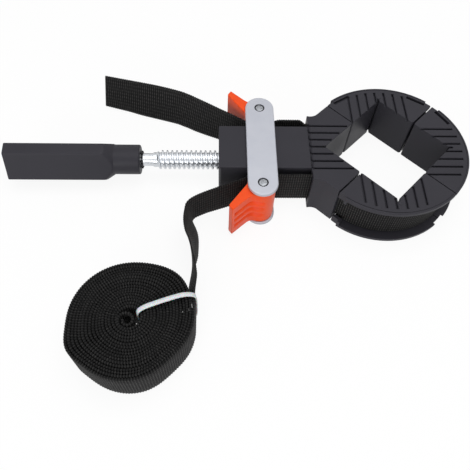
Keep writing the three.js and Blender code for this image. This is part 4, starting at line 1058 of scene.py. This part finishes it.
collar_back = COLLAR_FRONT - COLLAR_LENGTH
grip_back = collar_back - GRIP_LENGTH
apothem = (GRIP_FLAT + 2 * GRIP_NOSE) / (2 * math.sqrt(3))
nose_apothem = (2 * GRIP_FLAT + GRIP_NOSE) / (2 * math.sqrt(3))
taper_start = collar_back - (GRIP_FLAT - COLLAR_RADIUS) / TAPER_SLOPE


def grip_radius(angle, x):
    """The grip's radius in a direction, from its six flats and the taper's cone."""
    flats = [(90 + GRIP_ROLL + 60 * k, nose_apothem if k % 2 == 0 else apothem) for k in range(6)]
    parts = [max(0, math.cos(angle - math.radians(a)) / reach) ** CORNER_POWER for a, reach in flats]
    inverse = sum(parts) ** (1 / CORNER_POWER)
    cone = COLLAR_RADIUS + (collar_back - x) * TAPER_SLOPE
    return (inverse**TAPER_POWER + (1 / cone) ** TAPER_POWER) ** (-1 / TAPER_POWER)


stations = [grip_back + GRIP_EDGE * (1 - math.cos(a)) for a in np.linspace(0, math.pi / 2, 5)]
stations += list(np.linspace(grip_back + GRIP_EDGE, taper_start, 12)[1:])
stations += list(np.linspace(taper_start, collar_back, 40)[1:])
collar = [(collar_back + COLLAR_START, COLLAR_RADIUS), (COLLAR_FRONT - COLLAR_EDGE, COLLAR_RADIUS)]
collar += [
    (COLLAR_FRONT - COLLAR_EDGE * (1 - math.sin(a)), COLLAR_RADIUS - COLLAR_EDGE * (1 - math.cos(a)))
    for a in np.linspace(0, math.pi / 2, 6)[1:]
]
grip_rings = []
directions = np.linspace(0, 2 * math.pi, GRIP_SIDES, endpoint=False)
for x in stations:
    broken = rounded_in(GRIP_EDGE, x - grip_back)
    grip_rings.append(ring_round(x, [grip_radius(a, x) - broken for a in directions], directions))
grip_rings += [ring_round(x, [radius] * GRIP_SIDES, directions) for x, radius in collar]
grip = mesh_object("grip_body", *along_axis(skin(grip_rings)), filled_nylon)
worked(grip, [along_axis(round_bar(SHANK_RADIUS + PLAY, COLLAR_FRONT - GRIP_BORE, COLLAR_FRONT + CUT_OVER))])
fitted(grip, "screw", "dark_plastic", "handle_grip")

# Front jaw
# Moulded in the same nylon: a V for one corner of the work, two wings that lead the band in, and
# a hollow stem that slides in the block. Grooves across its top leave eight bars.
JAW_HIGH = 30.6 * mm
JAW_BACK = 30.3 * mm
JAW_RIM = 0.4 * mm
RECESS_LOW, RECESS_HIGH = 2.4 * mm, 28.2 * mm
RING_RADIUS = 50 * mm
SEAT_RADIUS = 43.4 * mm
VERTEX_REACH = 39.17 * mm
OPENING_HALF = VERTEX_REACH / math.sqrt(2)
TIGHT_SEAM, SLACK_SEAM, OPEN_SEAM = 0.5 * mm, 0.8 * mm, 1 * mm
NOTCH_WIDTH, NOTCH_DEPTH, NOTCH_ROUND = 1.4 * mm, 1.8 * mm, 0.3 * mm
LEG_ROUND = 1.3 * mm
CORNER_ROUND = 0.5 * mm
WING_WALL, WING_THIN = 4.8 * mm, 3.2 * mm
BAND_FREE = 0.9 * mm  # from the band's middle to each wall of its channel
MOUTH_DEPTH, MOUTH_FLARE = 5 * mm, 2.2 * mm
BAR_PITCH = 5.6 * mm
GROOVE_WIDTH, TOP_GROOVE_DEPTH = 1.2 * mm, 1.8 * mm
GROOVE_EDGE = 0.4 * mm
GROOVE_STOP = 1.1 * mm  # how far before the inner edge the grooves of the front and near jaws end
JAW_CHAMFER = 1.4 * mm
BAR_BEVEL = 2.1 * mm
TIP_BORE, TIP_BORE_FRONT = 4.8 * mm, 4.1 * mm
CLIP_BACK, CLIP_FRONT, CLIP_HALF = -6.5 * mm, -4.7 * mm, 6 * mm  # the retaining clip's slot
HAIR = 0.01 * mm  # keeps the faces of two cutters from lying on each other


def top_groove(x0, x1, y):
    """A groove's cutter along X, its mouth broken by a small chamfer."""
    low, half = JAW_HIGH - TOP_GROOVE_DEPTH, GROOVE_WIDTH / 2
    lip, over = JAW_HIGH - GROOVE_EDGE, GROOVE_EDGE + CUT_OVER
    section = [
        (-half, low), (half, low), (half, lip),
        (half + over, lip + over), (-half - over, lip + over), (-half, lip),
    ]
    return skin([[(x, y + across, z) for across, z in section] for x in (x0, x1)])


def vee(gap_low, gap_high):
    """The V of a jaw whose axis is +X from the ring's middle, from its low leg's end to its high one's."""
    def leg(sign, gap):
        reach = (OPENING_HALF - gap / 2) / math.sqrt(2)
        return (VERTEX_REACH - reach, sign * reach, LEG_ROUND)

    bottom, lip = VERTEX_REACH + NOTCH_DEPTH, VERTEX_REACH - NOTCH_WIDTH / 2
    half = NOTCH_WIDTH / 2
    return [
        leg(-1, gap_low), (lip, -half), (bottom, -half, NOTCH_ROUND),
        (bottom, half, NOTCH_ROUND), (lip, half), leg(1, gap_high),
    ]


def channel_route(start):
    """The band's line on the far side, from a place beside the block to where it meets the ring."""
    meets = BAND_RADIUS / math.sqrt(2)
    bend = arc(BEND_START, RUN_OFFSET + CHANNEL_BEND, CHANNEL_BEND, -90, -45, step=5)
    return [(start, RUN_OFFSET)] + bend + [(RING_AHEAD - meets, meets)]


def beside(route, by):
    """A plan route moved so far to its left."""
    line = np.array(route)
    return [tuple(p) for p in line + along_and_left(line)[1] * by]


def wing(seam):
    """One wing's outline on the far side, from its seam back to the jaw's rear face."""
    end = RING_AHEAD - (BAND_RADIUS + BAND_FREE + WING_THIN + seam / 2) / math.sqrt(2)
    line = channel_route(JAW_BACK)
    walls = [BAND_FREE + WING_WALL + (WING_THIN - WING_WALL) * i / (len(line) - 1) for i in range(len(line))]
    bend = [beside(line, wall)[i] for i, wall in enumerate(walls)][2:-1]
    tip = (end, RING_AHEAD - seam / 2 * math.sqrt(2) - end, CORNER_ROUND)
    return [tip] + bend[::-1] + [(JAW_BACK, RUN_OFFSET + BAND_FREE + WING_WALL, CORNER_ROUND)]


legs = [(RING_AHEAD - point[0], *point[1:]) for point in vee(SLACK_SEAM, TIGHT_SEAM)]
near_wing = [(p[0], -p[1], *p[2:]) for p in wing(SLACK_SEAM)][::-1]
jaw_outline = softened(near_wing + legs + wing(TIGHT_SEAM))
front = mesh_object("front_jaw_body", *prism(jaw_outline, 0, JAW_HIGH, JAW_RIM), filled_nylon)
stem = box(
    STEM_BACK, JAW_BACK + CUT_OVER, -STEM_HALF_WIDTH, STEM_HALF_WIDTH,
    AXIS_HEIGHT - STEM_HALF_HEIGHT, AXIS_HEIGHT + STEM_HALF_HEIGHT, JAW_RIM,
)
worked(front, [stem], "UNION")
through = channel_route(JAW_BACK - CUT_OVER)
through.append(tuple(2 * np.array(through[-1]) - np.array(through[-2])))
behind = JAW_BACK - CUT_OVER
inner, mouth_front = RUN_OFFSET - BAND_FREE + HAIR, JAW_BACK + MOUTH_DEPTH
flare = [
    (behind, inner), (mouth_front, inner), (mouth_front, RUN_OFFSET + BAND_FREE),
    (behind, RUN_OFFSET + BAND_FREE + MOUTH_FLARE),
]
cuts = []
for side in (-1, 1):
    slot = beside(through, -BAND_FREE) + beside(through, BAND_FREE)[::-1]
    cuts.append(prism([(x, side * y) for x, y in slot], RECESS_LOW, RECESS_HIGH))
    cuts.append(prism([(x, side * y) for x, y in flare], RECESS_LOW + HAIR, RECESS_HIGH - HAIR))
for k in range(-3, 4):
    y = k * BAR_PITCH
    cuts.append(top_groove(behind, RING_AHEAD - VERTEX_REACH + abs(y) - GROOVE_STOP, y))
    mouth = [
        (behind, y - BAR_BEVEL - GROOVE_WIDTH / 2), (JAW_BACK + BAR_BEVEL, y),
        (behind, y + BAR_BEVEL + GROOVE_WIDTH / 2),
    ]
    cuts.append(prism(mouth, JAW_HIGH - TOP_GROOVE_DEPTH + HAIR, JAW_HIGH + CUT_OVER))
slope = [
    (behind, JAW_HIGH - JAW_CHAMFER - CUT_OVER), (JAW_BACK + JAW_CHAMFER + CUT_OVER, JAW_HIGH + CUT_OVER),
    (behind, JAW_HIGH + CUT_OVER),
]
cuts.append(skin([[(x, y, z) for x, z in slope] for y in (BLOCK_HALF, -BLOCK_HALF)]))
cuts.append(along_axis(round_bar(TIP_BORE, STEM_BACK - CUT_OVER, TIP_BORE_FRONT)))
cuts.append(box(CLIP_BACK, CLIP_FRONT, -CLIP_HALF, CLIP_HALF, AXIS_HEIGHT - CLIP_HALF, BLOCK_HIGH))
worked(front, cuts)
fitted(front, "front_jaw", "dark_plastic", "front_jaw")

# Loose corner jaws
# Three moulded corners close the ring, each with a V inside, a seat for the band between two
# flanges outside, and grooves across its top. The far and end jaws have blind slots near their
# stepped ends, and keepers hold the band's edges at one end of the near jaw.
RIM_STEP, RIM_STEP_ANGLE = 1.6 * mm, 39
PAST_SEAM = 46  # degrees, just past the seam at 45
RIM_WIDTH = 3.7 * mm
LOOSE_PITCH = 6 * mm
LOOSE_GROOVES = 7
GROOVE_SHIFT = 1.2 * mm
KEEPER_SLOT = (12.5 * mm, 2.2 * mm)
KEEPER_FLOOR = 0.5 * mm
KEEPER_INSET, KEEPER_ANGLE = 3.8 * mm, 32
KEEPER_START, KEEPER_END = 37, 50  # degrees from the jaw's middle
KEEPER_WALL, KEEPER_HEIGHT = 2 * mm, 3 * mm
RIM_LINE = 0.35 * mm
RIM_LINE_INSET = 1.5 * mm
PIP_RADIUS, PIP_HEIGHT, PIP_INSET = 1.4 * mm, 0.4 * mm, 2.8 * mm
RING_SIDES = 240


def rim_sector(inner, outer, first, last, low, high):
    """A cutter for part of a flange's rim, between two radii and two angles."""
    return prism(arc(0, 0, outer, first, last) + arc(0, 0, inner, last, first), low, high)


def loose_jaw(name, turn, gap_low, gap_high, side, shift, steps, keeper=False):
    """A loose jaw, made with its axis along +X from the ring's middle and turned into place.

    The gaps are its two seams, side and shift place its grooves, and steps are the ends, -1 or 1, at
    which its top's rim is cut back as its underside's is at both. A keeper stands at its low end.
    """
    def seam_at(gap):
        return 45 - math.degrees(math.asin(gap / 2 / RING_RADIUS))

    outline = arc(0, 0, RING_RADIUS, -seam_at(gap_low), seam_at(gap_high))
    outline[0] = (*outline[0], CORNER_ROUND)
    outline[-1] = (*outline[-1], CORNER_ROUND)
    outline = softened(outline + vee(gap_low, gap_high)[::-1])
    jaw = mesh_object(f"{name}_body", *prism(outline, 0, JAW_HIGH, JAW_RIM), filled_nylon)
    recess = round_bar(RING_RADIUS + CUT_OVER, RECESS_LOW, RECESS_HIGH, SEAT_RADIUS, RING_SIDES)
    low = RING_RADIUS - RIM_STEP
    if keeper:
        walls = (low - KEEPER_WALL, RING_RADIUS + 2 * CUT_OVER, -KEEPER_END, -KEEPER_START)
        room = worked(mesh_object("room", *recess, filled_nylon), [
            rim_sector(*walls, 0, RECESS_LOW + KEEPER_HEIGHT),
            rim_sector(*walls, RECESS_HIGH - KEEPER_HEIGHT, JAW_HIGH),
        ])
        recess = ([v.co.copy() for v in room.data.vertices], [tuple(f.vertices) for f in room.data.polygons])
        bpy.data.meshes.remove(room.data)
    worked(jaw, [recess])
    cuts = []
    for end in (-1, 1):
        first, last = sorted((end * PAST_SEAM, end * RIM_STEP_ANGLE))
        high = JAW_HIGH + CUT_OVER if end in steps else JAW_HIGH / 2
        cuts.append(rim_sector(low, RING_RADIUS + CUT_OVER, first, last, -CUT_OVER, high))
    start = VERTEX_REACH + (GROOVE_STOP if keeper else -GROOVE_WIDTH)
    for k in range(LOOSE_GROOVES):
        y = side * ((k - LOOSE_GROOVES / 2) * LOOSE_PITCH + shift)
        cuts.append(top_groove(start - abs(y), math.sqrt((RING_RADIUS - RIM_WIDTH) ** 2 - y**2), y))
    for end in () if keeper else steps:
        middle, half, wide = RING_RADIUS - KEEPER_INSET, KEEPER_SLOT[0] / 2, KEEPER_SLOT[1] / 2
        slot = box(middle - wide, middle + wide, -half, half, RECESS_HIGH + KEEPER_FLOOR, JAW_HIGH + CUT_OVER)
        cuts.append(moved(slot, Matrix.Rotation(math.radians(end * KEEPER_ANGLE), 4, "Z")))
    line = RING_RADIUS - RIM_LINE_INSET
    cuts.append(round_bar(line + RIM_LINE, JAW_HIGH - RIM_LINE, JAW_HIGH + CUT_OVER, line, RING_SIDES))
    worked(jaw, cuts)
    if shift:
        dome = turned([
            (0, JAW_HIGH - CUT_OVER), (PIP_RADIUS, JAW_HIGH - CUT_OVER),
            (PIP_RADIUS, JAW_HIGH + PIP_HEIGHT / 2), (PIP_RADIUS * 0.75, JAW_HIGH + PIP_HEIGHT * 0.8),
            (PIP_RADIUS * 0.3, JAW_HIGH + PIP_HEIGHT), (0, JAW_HIGH + PIP_HEIGHT),
        ], sides=24)
        pip = moved(dome, Matrix.Translation((VERTEX_REACH + PIP_INSET, side * shift / 2, 0)))
        worked(jaw, [pip], "UNION")
    jaw.data.transform(Matrix.Translation((RING_AHEAD, 0, 0)) @ Matrix.Rotation(math.radians(turn), 4, "Z"))
    return fitted(jaw, name, "dark_plastic", name)


loose_jaw("near_jaw", 270, SLACK_SEAM, TIGHT_SEAM, 1, GROOVE_SHIFT, (-1,), keeper=True)
loose_jaw("end_jaw", 0, TIGHT_SEAM, OPEN_SEAM, 1, 0, (1,))
loose_jaw("far_jaw", 90, OPEN_SEAM, TIGHT_SEAM, -1, GROOVE_SHIFT, (-1, 1))

# Floor, backdrop and light
# A plain white table and surroundings under two soft lamps, a broad one overhead and a weaker one
# low on the near side, with enough light from all round that the shadow is faint. Towards the
# camera, mirrors and glass they show plain white.
LAMPS = (  # place, side in metres and power in watts
    ("overhead_lamp", Vector((0.08, 0.0, 0.9)), 0.7, 4.05),
    ("near_lamp", Vector((-0.4, -0.86, 0.22)), 0.6, 3.5),
)
SKY_LIGHT = 0.38
FLOOR_SIDE = 6.0
FLOOR_WHITE = "#e8e8e8"
FLOOR_GLOW = 0.87  # share of the floor's look that is plain white, so that the shadow stays faint
GLOW_STRENGTH = 1.04


def seen_plain(owner):
    """1 for what the camera, a mirror or glass sees of a surface, and 0 for the light that it gives."""
    ray = put(owner, "ShaderNodeLightPath").outputs
    straight = put(
        owner, "ShaderNodeMath", {0: ray["Is Camera Ray"], 1: ray["Is Glossy Ray"]}, operation="MAXIMUM",
    )
    seen = put(
        owner, "ShaderNodeMath", {0: straight.outputs[0], 1: ray["Is Transmission Ray"]}, operation="MAXIMUM",
    )
    return seen.outputs[0]


table = new_material("white_table", Roughness=0.9, Base_Color=linear(FLOOR_WHITE))
nodes = table.node_tree.nodes
share = put(table, "ShaderNodeMath", {0: seen_plain(table), 1: FLOOR_GLOW}, operation="MULTIPLY")
white = put(table, "ShaderNodeEmission", {"Color": (1, 1, 1, 1), "Strength": GLOW_STRENGTH})
mix = put(table, "ShaderNodeMixShader", {
    0: share.outputs[0], 1: nodes["Principled BSDF"].outputs[0], 2: white.outputs[0],
})
table.node_tree.links.new(mix.outputs[0], nodes["Material Output"].inputs["Surface"])

corners = [(FLOOR_SIDE * x, FLOOR_SIDE * y, 0) for x, y in ((-1, -1), (1, -1), (1, 1), (-1, 1))]
floor = mesh_object("floor", corners, [(0, 1, 2, 3)], table)

world = bpy.data.worlds.new("white_room")
bpy.context.scene.world = world
world.use_nodes = True
sky = world.node_tree.nodes["Background"]
level = put(world, "ShaderNodeMapRange", {"Value": seen_plain(world), "To Min": SKY_LIGHT, "To Max": 1.0})
world.node_tree.links.new(level.outputs["Result"], sky.inputs["Strength"])
sky.inputs["Color"].default_value = (1, 1, 1, 1)

for name, place, side, power in LAMPS:
    lamp = bpy.data.objects.new(name, bpy.data.lights.new(name, "AREA"))
    bpy.context.scene.collection.objects.link(lamp)
    lamp.data.size = side
    lamp.data.energy = power
    lamp.matrix_world = Matrix.Translation(place) @ (-place).to_track_quat("-Z", "Y").to_matrix().to_4x4()
